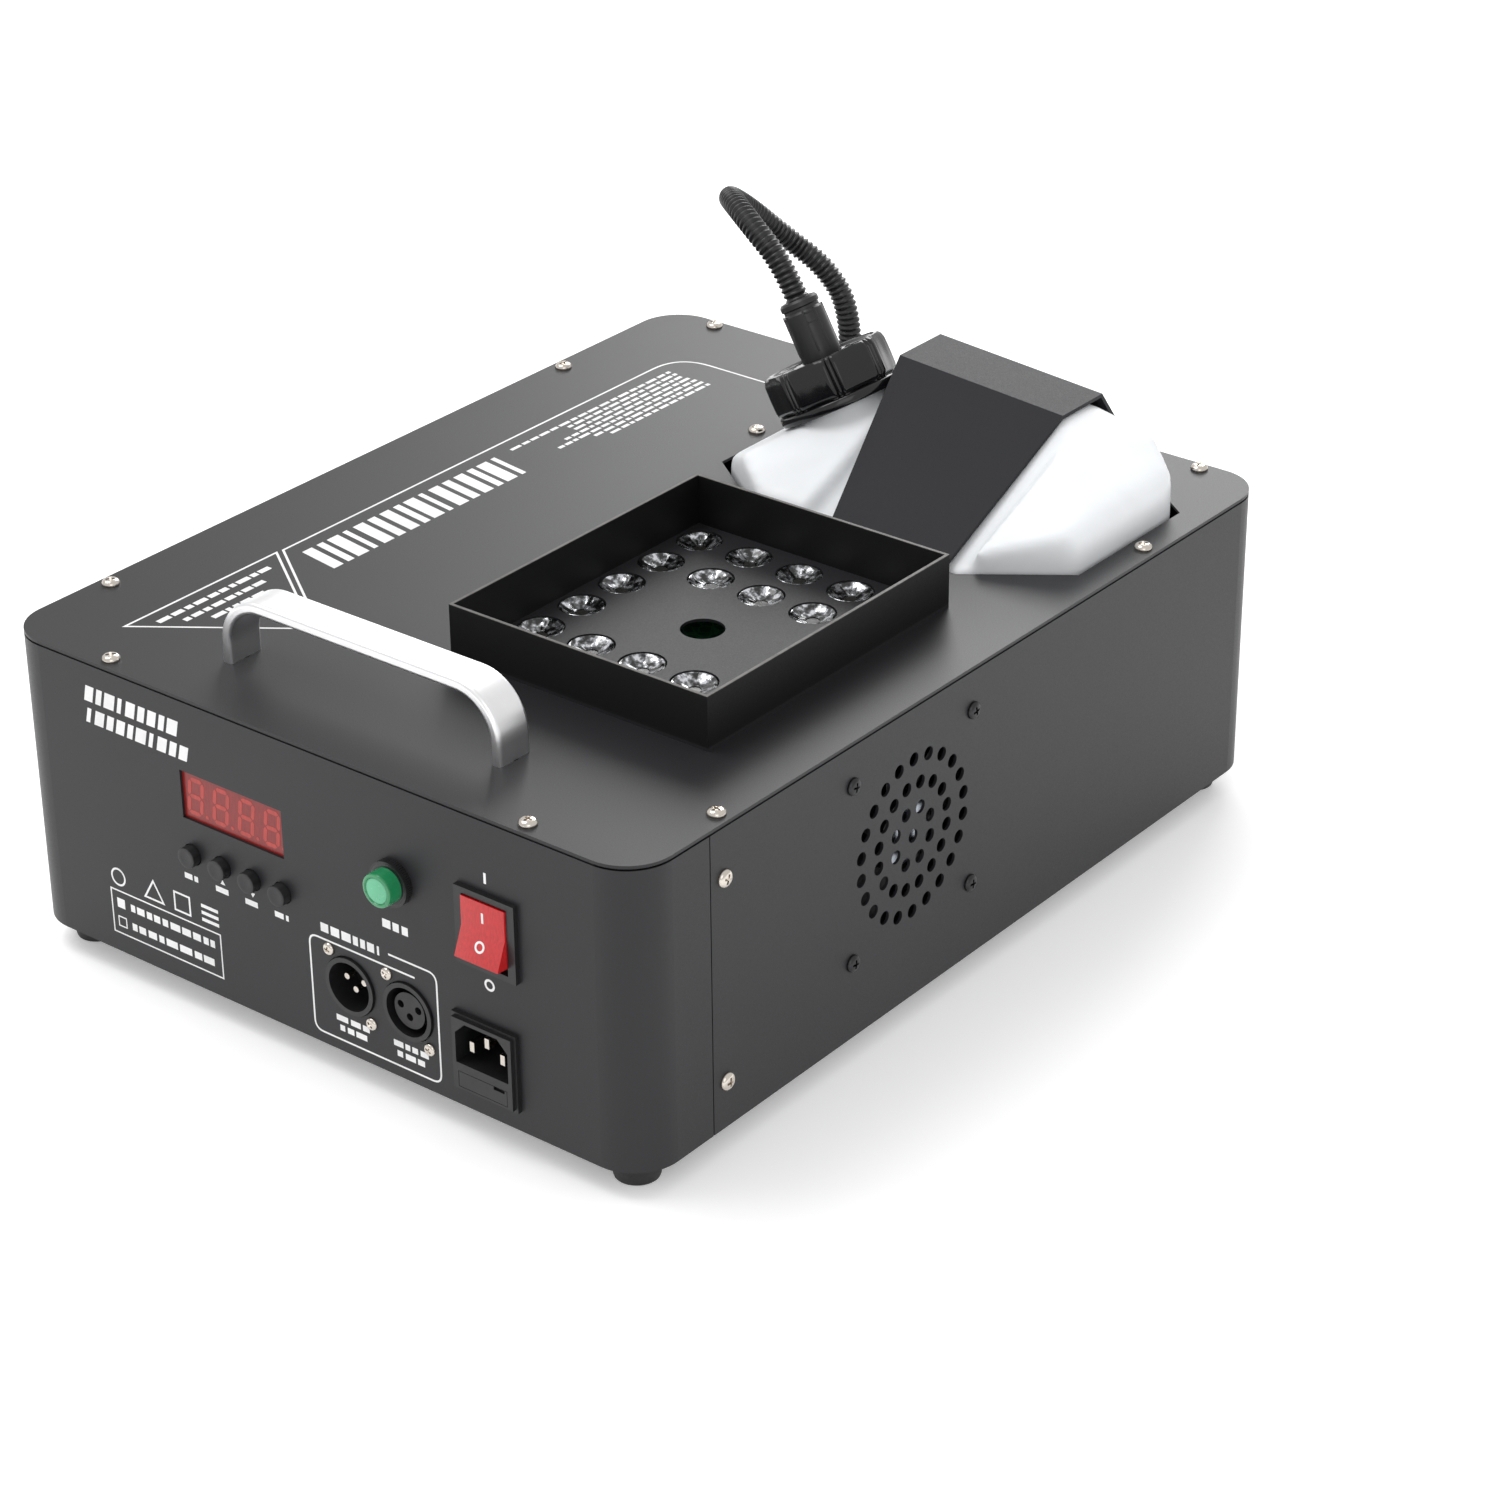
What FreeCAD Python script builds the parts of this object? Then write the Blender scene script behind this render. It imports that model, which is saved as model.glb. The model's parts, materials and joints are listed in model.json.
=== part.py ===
import FreeCAD, Part
import math
import os
import Sketcher

# Vertical-jet fog machine with a ring of lights round its nozzle, in millimetres.
# X runs along the control panel, -Y is the control panel, +Z is up, and the feet stand on Z = 0.
# The origin is under the middle of the machine's outline.

doc = FreeCAD.newDocument("FogMachine")
sheet = doc.addObject("Spreadsheet::Sheet", "Sizes")
nodes = []


class Size:
    """A length that keeps its number and the sheet formula that it comes from."""

    def __init__(self, value, text):
        self.value = float(value)
        self.text = text

    def __add__(self, other):
        other = as_size(other)
        return Size(self.value + other.value, f"({self.text} + {other.text})")

    def __radd__(self, other):
        return as_size(other) + self

    def __sub__(self, other):
        other = as_size(other)
        return Size(self.value - other.value, f"({self.text} - {other.text})")

    def __rsub__(self, other):
        return as_size(other) - self

    def __mul__(self, factor):
        return Size(self.value * factor, f"({self.text} * {factor:.6f})")

    __rmul__ = __mul__

    def __truediv__(self, divisor):
        return Size(self.value / divisor, f"({self.text} / {divisor})")

    def __neg__(self):
        return Size(-self.value, f"(0 - {self.text})")

    def __float__(self):
        return self.value


def as_size(length):
    return length if isinstance(length, Size) else Size(length, f"{float(length):.6f}")


def size(alias, number):
    """Write one driving dimension into the sheet and return it as a Size."""
    size.row += 1
    sheet.set(f"A{size.row}", alias.replace("_", " "))
    sheet.set(f"B{size.row}", str(number))
    sheet.setAlias(f"B{size.row}", alias)
    return Size(number, f"Sizes.{alias}")


size.row = 0

# Casing
case_width = size("case_width", 300)
case_depth = size("case_depth", 386)
case_height = size("case_height", 120.4)
foot_height = size("foot_height", 11)
gauge = size("sheet_gauge", 1.2)
case_corner = size("case_corner_radius", 18.5)
seam_return = size("seam_return", 38)
seam_gap = size("seam_gap", 0.5)
top_gap = size("top_seam_gap", 0.8)
flange_width = size("flange_width", 14)
pan_height = size("pan_height", 8)
slip = size("slip_clearance", 0.2)
running_fit = size("running_fit", 0.06)

# Control panel, measured from the left edge or the right edge and from the underside of the case
window_left = size("window_left", 88)
window_bottom = size("window_bottom", 70.7)
window_width = size("window_width", 50)
window_height = size("window_height", 19.4)
window_thickness = size("window_thickness", 2)
menu_left = size("menu_button_left", 91.2)
menu_level = size("menu_button_level", 56.3)
menu_pitch = size("menu_button_pitch", 14.9)
menu_diameter = size("menu_button_diameter", 8.2)
menu_proud = size("menu_button_proud", 3.6)
menu_travel = size("menu_button_travel", 0.8)
fog_left = size("fog_button_left", 191)
fog_level = size("fog_button_level", 80.6)
fog_bezel = size("fog_bezel_diameter", 17.5)
fog_bezel_proud = size("fog_bezel_proud", 3.2)
fog_cap = size("fog_button_diameter", 13.2)
fog_proud = size("fog_button_proud", 9)
signal_out_left = size("signal_out_left", 167)
signal_in_left = size("signal_in_left", 194.6)
signal_level = size("signal_level", 29.3)
signal_hole = size("signal_hole_diameter", 23.6)
signal_screw_across = size("signal_screw_across", 19)
signal_screw_up = size("signal_screw_up", 24)
rocker_right = size("rocker_right", 65.9)
rocker_level = size("rocker_level", 75.8)
rocker_frame_width = size("rocker_frame_width", 27)
rocker_frame_height = size("rocker_frame_height", 30.5)
rocker_width = size("rocker_width", 19.6)
rocker_half = size("rocker_half_height", 11.2)
rocker_swing = size("rocker_swing", 22)
rocker_pin = size("rocker_pin_diameter", 3)
rocker_pin_reach = size("rocker_pin_reach", 1.4)
inlet_right = size("inlet_right", 68.8)
inlet_level = size("inlet_level", 23.6)
inlet_width = size("inlet_width", 29.5)
inlet_height = size("inlet_height", 31)
inlet_proud = size("inlet_proud", 3.2)
socket_width = size("socket_width", 24)
socket_height = size("socket_height", 16.5)
socket_depth = size("socket_depth", 17)

# Light shroud and nozzle
shroud_right = size("shroud_right", 35)
shroud_front = size("shroud_front", 81)
shroud_width = size("shroud_width", 118)
shroud_depth = size("shroud_depth", 141)
shroud_height = size("shroud_height", 21.3)
lens_diameter = size("lens_hole_diameter", 18)
lens_across = size("lens_pitch_across", 23.85)
lens_along = size("lens_pitch_along", 22.95)
lens_sink = size("lens_sink_below_floor", 0.3)
nozzle_hole = size("nozzle_hole_diameter", 16.6)
nozzle_diameter = size("nozzle_diameter", 11)
nozzle_thread = size("nozzle_thread_diameter", 14)
nozzle_drop = size("nozzle_drop", 5)
jet_bore = size("jet_bore", 2.4)

# Fluid tank and its hold-down strap
opening_right = size("tank_opening_right", 12)
opening_rear = size("tank_opening_rear", 17)
opening_width = size("tank_opening_width", 170)
opening_depth = size("tank_opening_depth", 123)
opening_chamfer_across = size("tank_opening_chamfer_across", 37)
opening_chamfer_along = size("tank_opening_chamfer_along", 27)
tank_clearance = size("tank_clearance", 2)
tank_wall = size("tank_wall", 2)
tank_rise = size("tank_rise", 34.1)
tank_left_side = size("tank_left_side", 2.4)
tank_right_side = size("tank_right_side", 15.6)
neck_diameter = size("neck_diameter", 38.4)
neck_bore = size("neck_bore", 33.6)
neck_tilt = size("neck_tilt", 30)
cap_diameter = size("cap_diameter", 51.4)
stem_diameter = size("fitting_stem_diameter", 16.4)
stem_clearance = size("stem_clearance", 0.35)
hose_diameter = size("hose_diameter", 9.6)
strap_gauge = size("strap_gauge", 1.5)
strap_channel_start = size("strap_channel_start", 58)
strap_channel_margin = size("strap_channel_margin", 9)

# Handle, fan and screws
handle_pitch = size("handle_hole_pitch", 128)
handle_front = size("handle_front", 29)
handle_width = size("handle_width", 16)
handle_bar = size("handle_bar_thickness", 4.6)
handle_height = size("handle_height", 28)
handle_bend = size("handle_bend_radius", 20)
fan_size = size("fan_size", 80)
fan_thickness = size("fan_thickness", 25)
fan_shaft = size("fan_shaft_diameter", 3)
fan_pitch = size("fan_hole_pitch", 71.5)
fan_front = size("fan_front", 153)
fan_level = size("fan_level", 67)
vent_hole = size("vent_hole_diameter", 5.3)
screw_inset = size("screw_inset", 5.7)
screw_head = size("screw_head_diameter", 7)
screw_shank = size("screw_shank_diameter", 3.5)
foot_inset = size("foot_inset", 17)
foot_diameter = size("foot_diameter", 20)

# Working parts inside
heater_width = size("heater_width", 108)
heater_depth = size("heater_depth", 60)
heater_height = size("heater_height", 44)
heater_base = size("heater_base", 22)
led_board_drop = size("led_board_drop", 13)
piston_diameter = size("piston_diameter", 10)
piston_clearance = size("piston_clearance", 0.05)

# Places that several parts share
left = -case_width / 2
right = case_width / 2
front = (fog_proud - case_depth) / 2
rear = front + case_depth
floor = foot_height
plate_top = foot_height + case_height
plate_under = plate_top - gauge
pan_floor = floor + gauge
inner_left = left + gauge
inner_right = right - gauge
inner_front = front + gauge
inner_rear = rear - gauge

rocker_x = right - rocker_right
rocker_z = floor + rocker_level
inlet_x = right - inlet_right
inlet_z = floor + inlet_level
fog_x = left + fog_left
fog_z = floor + fog_level
signal_z = floor + signal_level

shroud_x = right - shroud_right - shroud_width / 2
shroud_y = front + shroud_front + shroud_depth / 2
nozzle_x = shroud_x
nozzle_y = shroud_y

opening_x = right - opening_right - opening_width
opening_y = rear - opening_rear - opening_depth
tank_x = opening_x + tank_clearance
tank_y = opening_y + tank_clearance
tank_width = opening_width - 2 * tank_clearance
tank_depth = opening_depth - 2 * tank_clearance
tank_floor = pan_floor + gauge
tank_top = plate_top + tank_rise

handle_x = left + case_width / 2
handle_y = front + handle_front
fan_y = front + fan_front
fan_z = floor + fan_level

TURNS = {
    "+Z": ((1, 0, 0), 0),
    "-Z": ((1, 0, 0), 180),
    "+X": ((0, 1, 0), 90),
    "-X": ((0, 1, 0), -90),
    "+Y": ((1, 0, 0), -90),
    "-Y": ((1, 0, 0), 90),
}


# ---------------------------------------------------------------- building blocks


def bind(item, prop, length):
    """Bind one property to the sheet."""
    item.setExpression(prop, as_size(length).text)


def place(item, at, axis=(0, 0, 1), degrees=0.0):
    item.Placement = FreeCAD.Placement(
        FreeCAD.Vector(0, 0, 0), FreeCAD.Rotation(FreeCAD.Vector(*axis), degrees)
    )
    for name, length in zip("xyz", at):
        bind(item, f"Placement.Base.{name}", length)
    return item


def box(lengths, corner):
    """A block with the given X, Y and Z lengths, from its lowest corner."""
    item = doc.addObject("Part::Box", "Block")
    for prop, length in zip(("Length", "Width", "Height"), lengths):
        bind(item, prop, length)
    return place(item, corner)


def middle_box(lengths, middle, bottom):
    """A block centred on a point in X and Y, standing on a level."""
    return box(
        lengths,
        (middle[0] - as_size(lengths[0]) / 2, middle[1] - as_size(lengths[1]) / 2, bottom),
    )


def rod(diameter, length, start, towards="+Z"):
    """A cylinder that runs from its start point towards an axis direction."""
    item = doc.addObject("Part::Cylinder", "Rod")
    bind(item, "Radius", as_size(diameter) / 2)
    bind(item, "Height", length)
    axis, degrees = TURNS[towards]
    return place(item, start, axis, degrees)


def taper(bottom, top, length, start, towards="+Z"):
    """A cone frustum, with the diameters at its start and at its far end."""
    item = doc.addObject("Part::Cone", "Taper")
    bind(item, "Radius1", as_size(bottom) / 2)
    bind(item, "Radius2", as_size(top) / 2)
    bind(item, "Height", length)
    axis, degrees = TURNS[towards]
    return place(item, start, axis, degrees)


def joined(*parts):
    item = doc.addObject("Part::MultiFuse", "Joined")
    item.Shapes = list(parts)
    item.Refine = True
    return item


def cut(base, *tools):
    item = doc.addObject("Part::Cut", "Cut")
    item.Base = base
    item.Tool = tools[0] if len(tools) == 1 else joined(*tools)
    return item


def group(*parts):
    """Separate solids that share one node."""
    item = doc.addObject("Part::Compound", "Group")
    item.Links = list(parts)
    return item


def shaped(shape, placement=None):
    """A solid whose form is worked out in code from the sheet's sizes."""
    item = doc.addObject("Part::Feature", "Shaped")
    item.Shape = shape
    item.Placement = placement or FreeCAD.Placement()
    return item


def node(label, item):
    item.Label = label
    nodes.append(item)
    return item


def new_body(name):
    return doc.addObject("PartDesign::Body", name)


def sketch_on(body, plane, offset=0.0):
    """A sketch on one of the body's origin planes, moved along that plane's normal."""
    sketch = body.newObject("Sketcher::SketchObject", "Sketch")
    support = next(f for f in body.Origin.OriginFeatures if f.Role == plane)
    sketch.AttachmentSupport = [(support, "")]
    sketch.MapMode = "FlatFace"
    bind(sketch, "AttachmentOffset.Base.z", offset)
    return sketch


def pin_point(sketch, curve, which, point):
    """Tie a point of a sketch curve to its place from the sketch's origin."""
    for kind, length in zip(("DistanceX", "DistanceY"), point):
        length = as_size(length)
        index = sketch.addConstraint(
            Sketcher.Constraint(kind, -1, 1, curve, which, length.value)
        )
        sketch.setExpression(f"Constraints[{index}]", length.text)


def outline(sketch, points):
    """A closed outline of straight lines through the points."""
    flat = [FreeCAD.Vector(float(as_size(x)), float(as_size(y)), 0) for x, y in points]
    lines = [
        sketch.addGeometry(Part.LineSegment(flat[i], flat[(i + 1) % len(flat)]), False)
        for i in range(len(flat))
    ]
    for i, line in enumerate(lines):
        sketch.addConstraint(
            Sketcher.Constraint("Coincident", line, 2, lines[(i + 1) % len(lines)], 1)
        )
        pin_point(sketch, line, 1, points[i])
    return sketch


def rectangle(sketch, low, high):
    return outline(
        sketch, [(low[0], low[1]), (high[0], low[1]), (high[0], high[1]), (low[0], high[1])]
    )


def circle(sketch, middle, diameter):
    radius = as_size(diameter) / 2
    middle = [as_size(value) for value in middle]
    curve = sketch.addGeometry(
        Part.Circle(
            FreeCAD.Vector(middle[0].value, middle[1].value, 0),
            FreeCAD.Vector(0, 0, 1),
            radius.value,
        ),
        False,
    )
    pin_point(sketch, curve, 3, middle)
    index = sketch.addConstraint(Sketcher.Constraint("Radius", curve, radius.value))
    sketch.setExpression(f"Constraints[{index}]", radius.text)
    return sketch


def pad(body, sketch, length):
    doc.recompute()
    feature = body.newObject("PartDesign::Pad", "Pad")
    feature.Profile = sketch
    bind(feature, "Length", length)
    doc.recompute()
    return feature


def pocket(body, sketch, depth):
    """Cut the sketch's outlines evenly to both sides of its plane, and see that it cut."""
    doc.recompute()
    before = body.Shape.Volume
    feature = body.newObject("PartDesign::Pocket", "Pocket")
    feature.Profile = sketch
    feature.SideType = "Symmetric"
    bind(feature, "Length", depth)
    doc.recompute()
    if body.Shape.Volume > before - 1e-3:
        raise ValueError(f"a pocket in {body.Name} cuts nothing")
    return feature


def round_corners(body, radius, corners):
    """Round the upright edges that stand at the given X, Y corners."""
    base = body.Tip
    wanted = [(float(as_size(x)), float(as_size(y))) for x, y in corners]
    names = []
    for number, edge in enumerate(base.Shape.Edges, 1):
        low = edge.BoundBox
        upright = low.ZLength > 0.5 and low.XLength < 1e-3 and low.YLength < 1e-3
        if upright and any(math.hypot(low.XMin - x, low.YMin - y) < 1e-2 for x, y in wanted):
            names.append(f"Edge{number}")
    feature = body.newObject("PartDesign::Fillet", "Corners")
    feature.Base = (base, names)
    bind(feature, "Radius", radius)
    doc.recompute()
    return feature


def corners_of(low, high):
    return [(low[0], low[1]), (high[0], low[1]), (high[0], high[1]), (low[0], high[1])]


def rounded_slab(name, low, high, bottom, thickness, radius):
    """A body that starts as a flat slab with rounded upright corners."""
    body = new_body(name)
    pad(body, rectangle(sketch_on(body, "XY_Plane", bottom), low, high), thickness)
    round_corners(body, radius, corners_of(low, high))
    return body


def screws(places, towards, head, head_height, shank, shank_length):
    """Pan-head screws whose heads stand out on the far side from where they point."""
    opposite = {"-": "+", "+": "-"}[towards[0]] + towards[1]
    made = []
    for at in places:
        made.append(
            joined(
                rod(head, head_height, at, opposite),
                rod(shank, shank_length, at, towards),
            )
        )
    return group(*made)


def vector(x, y, z):
    return FreeCAD.Vector(float(as_size(x)), float(as_size(y)), float(as_size(z)))


def wire_of(points):
    return Part.makePolygon(list(points) + [points[0]])


def softened(points, inset, radius):
    """A convex outline moved inwards by inset, with its corners rounded."""
    moved = wire_of(points).makeOffset2D(-(inset + radius))
    return Part.Face(moved.makeOffset2D(radius))


def bent_route(name, points):
    """A path of straight runs joined by arcs as large as the runs allow, which prints its radii."""
    edges = []
    radii = []
    start = points[0]
    for before, corner, after in zip(points, points[1:], points[2:]):
        into = (corner - before).normalize()
        out = (after - corner).normalize()
        turn = into.getAngle(out)
        reach = 0.45 * min((corner - before).Length, (after - corner).Length)
        radius = reach / math.tan(turn / 2)
        bend_start = corner - into * reach
        bend_end = corner + out * reach
        towards = (out - into).normalize()
        middle = corner + towards * (radius / math.cos(turn / 2) - radius)
        edges.append(Part.LineSegment(start, bend_start).toShape())
        edges.append(Part.Arc(bend_start, middle, bend_end).toShape())
        radii.append(round(radius, 1))
        start = bend_end
    edges.append(Part.LineSegment(start, points[-1]).toShape())
    path = Part.Wire(edges)
    print(f"{name}: length {path.Length:.1f}, bend radii {radii}")
    return path


def tube_along(name, points, diameter):
    """A solid round tube along a bent route, whose volume matches section times length."""
    path = bent_route(name, points)
    radius = float(diameter) / 2
    along = (points[1] - points[0]).normalize()
    profile = Part.Wire([Part.makeCircle(radius, points[0], along)])
    solid = path.makePipeShell([profile], True, False)
    expected = math.pi * radius**2 * path.Length
    if abs(solid.Volume / expected - 1) > 0.01:
        raise ValueError(f"{name} has the wrong volume")
    return solid


# ---------------------------------------------------------------- casing


def base_pan():
    low = (inner_left + slip, inner_front + slip)
    high = (inner_right - slip, inner_rear - slip)
    body = rounded_slab("BasePan", low, high, floor, pan_height, case_corner - gauge)
    hollow = sketch_on(body, "XY_Plane", floor + gauge + pan_height)
    rectangle(
        hollow, (low[0] + gauge, low[1] + gauge), (high[0] - gauge, high[1] - gauge)
    )
    pocket(body, hollow, 2 * pan_height)
    holes = sketch_on(body, "XY_Plane", floor)
    for at in foot_places():
        circle(holes, at, screw_shank + 0.6)
    pocket(body, holes, 4 * gauge)
    return node("base_pan", body)


def front_cutouts(sketch):
    """Everything that looks through the front wall, in the wall's own X and Z."""
    low = (left + window_left, floor + window_bottom)
    rectangle(sketch, low, (low[0] + window_width, low[1] + window_height))
    for x in menu_places():
        circle(sketch, (x, floor + menu_level), menu_diameter + 0.6)
    circle(sketch, (fog_x, fog_z), fog_bezel - 1.5)
    for x in signal_places():
        circle(sketch, (x, signal_z), signal_hole)
        for side in (-1, 1):
            circle(
                sketch,
                (x + side * signal_screw_across / 2, signal_z - side * signal_screw_up / 2),
                2.9,
            )
    for middle, width, height in (
        ((rocker_x, rocker_z), rocker_frame_width - 2.4, rocker_frame_height - 1.4),
        ((inlet_x, inlet_z), inlet_width - 1.6, inlet_height - 1.6),
    ):
        rectangle(
            sketch,
            (middle[0] - width / 2, middle[1] - height / 2),
            (middle[0] + width / 2, middle[1] + height / 2),
        )


def menu_places():
    return [left + menu_left + i * menu_pitch for i in range(4)]


def signal_places():
    return [left + signal_out_left, left + signal_in_left]


def wrap(name, outer, inner, round_outer, round_inner):
    """A sheet folded round two corners, standing as high as the case allows under its top."""
    body = new_body(name)
    pad(
        body,
        outline(sketch_on(body, "XY_Plane", floor), outer + inner),
        case_height - gauge - top_gap,
    )
    round_corners(body, case_corner, round_outer)
    round_corners(body, case_corner - gauge, round_inner)
    return body


def top_flange(body, low, high):
    """A flange that the sheet turns inwards under the top plate, fused to its wall."""
    sketch = sketch_on(body, "XY_Plane", plate_under - gauge)
    rectangle(sketch, low, high)
    pad(body, sketch, gauge)


def front_panel():
    edge = front + seam_return
    outer = [(left, edge), (left, front), (right, front), (right, edge)]
    inner = [
        (inner_right, edge),
        (inner_right, inner_front),
        (inner_left, inner_front),
        (inner_left, edge),
    ]
    body = wrap("FrontPanel", outer, inner, outer[1:3], inner[1:3])
    top_flange(
        body,
        (left + case_corner, front + gauge / 2),
        (right - case_corner, front + flange_width),
    )
    cuts = sketch_on(body, "XZ_Plane", -(front + gauge / 2))
    front_cutouts(cuts)
    pocket(body, cuts, 3 * gauge)
    flange_holes(body, top_screw_places()[:2])
    return node("front_panel", body)


def flange_holes(body, places):
    """Clearance holes for the screws that come down through the top plate."""
    holes = sketch_on(body, "XY_Plane", plate_under)
    for at in places:
        circle(holes, at, screw_shank + 0.4)
    pocket(body, holes, 4 * gauge)


def vent_places():
    """Centres of the vent holes: one in the middle and three rings round it."""
    places = [(fan_y, fan_z)]
    for ring, count in ((11.0, 8), (20.8, 16), (31.0, 22)):
        for k in range(count):
            angle = 2 * math.pi * (k + 0.5) / count
            places.append((fan_y + ring * math.cos(angle), fan_z + ring * math.sin(angle)))
    return places


def side_screw_levels():
    return [floor + 18.8, floor + 99.3]


def side_screw_y():
    return front + seam_return + 7.5


def fan_screw_places():
    half = fan_pitch / 2
    return [(fan_y + i * half, fan_z + j * half) for i in (-1, 1) for j in (-1, 1)]


def case_wrap():
    edge = front + seam_return + seam_gap
    outer = [(right, edge), (right, rear), (left, rear), (left, edge)]
    inner = [
        (inner_left, edge),
        (inner_left, inner_rear),
        (inner_right, inner_rear),
        (inner_right, edge),
    ]
    body = wrap("CaseWrap", outer, inner, outer[1:3], inner[1:3])
    ends = (edge, rear - case_corner)
    top_flange(body, (left + gauge / 2, ends[0]), (left + flange_width - 3, ends[1]))
    top_flange(body, (right - flange_width + 3, ends[0]), (right - gauge / 2, ends[1]))
    top_flange(
        body,
        (left + case_corner, rear - flange_width),
        (right - case_corner, rear - gauge / 2),
    )
    vents = sketch_on(body, "YZ_Plane", right - gauge / 2)
    for at in vent_places():
        circle(vents, at, vent_hole)
    for at in fan_screw_places():
        circle(vents, at, 4.3)
    pocket(body, vents, 3 * gauge)
    for wall in (left + gauge / 2, right - gauge / 2):
        holes = sketch_on(body, "YZ_Plane", wall)
        for z in side_screw_levels():
            circle(holes, (side_screw_y(), z), screw_shank + 0.4)
        pocket(body, holes, 3 * gauge)
    flange_holes(body, top_screw_places()[2:8] + strap_screw_places()[2:])
    notch = sketch_on(body, "XY_Plane", plate_under)
    circle(notch, gland_place(), gland_nut + 2)
    pocket(body, notch, 4 * gauge)
    return node("case_wrap", body)


def joint_strips():
    """Two strips inside the side walls that carry the front panel's ends and the side walls."""
    length = 32
    height = case_height - pan_height - 18
    strips = []
    for x in (inner_left, inner_right - gauge):
        strip = box(
            (gauge, length, height),
            (x, front + seam_return - 16, floor + pan_height + 2),
        )
        holes = [
            rod(screw_shank + 0.1, 4 * gauge, (x - gauge, side_screw_y(), z), "+X")
            for z in side_screw_levels()
        ]
        strips.append(cut(strip, *holes))
    return node("joint_strips", group(*strips))


def top_screw_places():
    """Front pair, two pairs along the sides, the rear pair, and one beside the tank."""
    inset = screw_inset
    return [
        (left + 51, front + inset),
        (right - 51, front + inset),
        (left + inset, front + 49),
        (left + inset, rear - 78),
        (right - inset, front + 49),
        (right - inset, rear - 79),
        (left + 28, rear - inset + 0.5),
        (right - 28, rear - inset + 0.5),
        (opening_x - 7.5, opening_y + 59),
    ]


def tank_opening():
    x, y = opening_x, opening_y
    far_x, far_y = x + opening_width, y + opening_depth
    a, b = opening_chamfer_across, opening_chamfer_along
    return [
        (x + a, y),
        (far_x - a, y),
        (far_x, y + b),
        (far_x, far_y - b),
        (far_x - a, far_y),
        (x + a, far_y),
        (x, far_y - b),
        (x, y + b),
    ]


def handle_holes():
    return [
        (handle_x + side * handle_pitch / 2, handle_y + handle_width / 2) for side in (-1, 1)
    ]


def strap_screw_places():
    front_y = opening_y - 10.5
    rear_y = rear - 4.2
    edge = strap_right()
    return [
        (edge - 42, front_y),
        (edge - 10, front_y),
        (edge - 68, rear_y),
        (edge - 12, rear_y),
    ]


def strap_right():
    return opening_x + opening_width - 42.5


gland_nut = 17


def gland_place():
    return (opening_x - 9.5, opening_y + 124)


def top_plate():
    low = (left, front)
    high = (right, rear)
    body = rounded_slab("TopPlate", low, high, plate_under, gauge, case_corner)
    cuts = sketch_on(body, "XY_Plane", plate_under)
    outline(cuts, tank_opening())
    half = (shroud_width / 2 - 2, shroud_depth / 2 - 2)
    rectangle(
        cuts, (shroud_x - half[0], shroud_y - half[1]), (shroud_x + half[0], shroud_y + half[1])
    )
    pocket(body, cuts, 4 * gauge)
    holes = sketch_on(body, "XY_Plane", plate_under)
    for at in top_screw_places():
        circle(holes, at, screw_shank + 0.3)
    for at in handle_holes():
        circle(holes, at, 5.4)
    for at in strap_screw_places():
        circle(holes, at, 3.3)
    circle(holes, gland_place(), 12.6)
    pocket(body, holes, 4 * gauge)
    return node("top_plate", body)


# ---------------------------------------------------------------- light shroud and lights


def lens_places():
    """Two full rows at each end and the outer columns beside the nozzle: 24 lights."""
    places = []
    for row in (-2.5, -1.5, -0.5, 0.5, 1.5, 2.5):
        for column in (-2, -1, 0, 1, 2):
            if abs(row) > 1 or abs(column) == 2:
                places.append((shroud_x + column * lens_across, shroud_y + row * lens_along))
    return places


def light_shroud():
    body = new_body("LightShroud")
    half = (shroud_width / 2, shroud_depth / 2)
    low = (shroud_x - half[0], shroud_y - half[1])
    high = (shroud_x + half[0], shroud_y + half[1])
    pad(body, rectangle(sketch_on(body, "XY_Plane", plate_top), low, high), shroud_height)
    hollow = sketch_on(body, "XY_Plane", plate_top + gauge + shroud_height)
    rectangle(
        hollow, (low[0] + gauge, low[1] + gauge), (high[0] - gauge, high[1] - gauge)
    )
    pocket(body, hollow, 2 * shroud_height)
    holes = sketch_on(body, "XY_Plane", plate_top)
    for at in lens_places():
        circle(holes, at, lens_diameter)
    circle(holes, (nozzle_x, nozzle_y), nozzle_hole)
    pocket(body, holes, 4 * gauge)
    return node("light_shroud", body)


def led_lenses():
    """Collimator lenses: a cone that stands on the board and a disc that fills its hole."""
    board_top = plate_top - led_board_drop
    disc_start = plate_top - 2.2
    disc_height = plate_top + gauge - lens_sink - disc_start
    disc = lens_diameter - 0.6
    lenses = []
    for x, y in lens_places():
        lenses.append(
            joined(
                taper(7, disc - 1, disc_start - board_top, (x, y, board_top)),
                rod(disc, disc_height, (x, y, disc_start)),
            )
        )
    return node("led_lenses", group(*lenses))


def led_board():
    """The board that carries the lights, with four posts up to the shroud's floor."""
    thickness = 1.6
    width = shroud_width - 9
    depth = shroud_depth - 9
    board_top = plate_top - led_board_drop
    board = middle_box((width, depth, thickness), (shroud_x, shroud_y), board_top - thickness)
    opening = rod(26, 4 * thickness, (nozzle_x, nozzle_y, board_top - 2 * thickness))
    posts = [
        rod(5, led_board_drop, (shroud_x + i * lens_across, shroud_y + j * lens_along, board_top))
        for i in (-1.5, 1.5)
        for j in (-2, 2)
    ]
    return node("led_board", joined(cut(board, opening), *posts))


def heater_top():
    return floor + heater_base + heater_height


# ---------------------------------------------------------------- heater and nozzle


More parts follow.
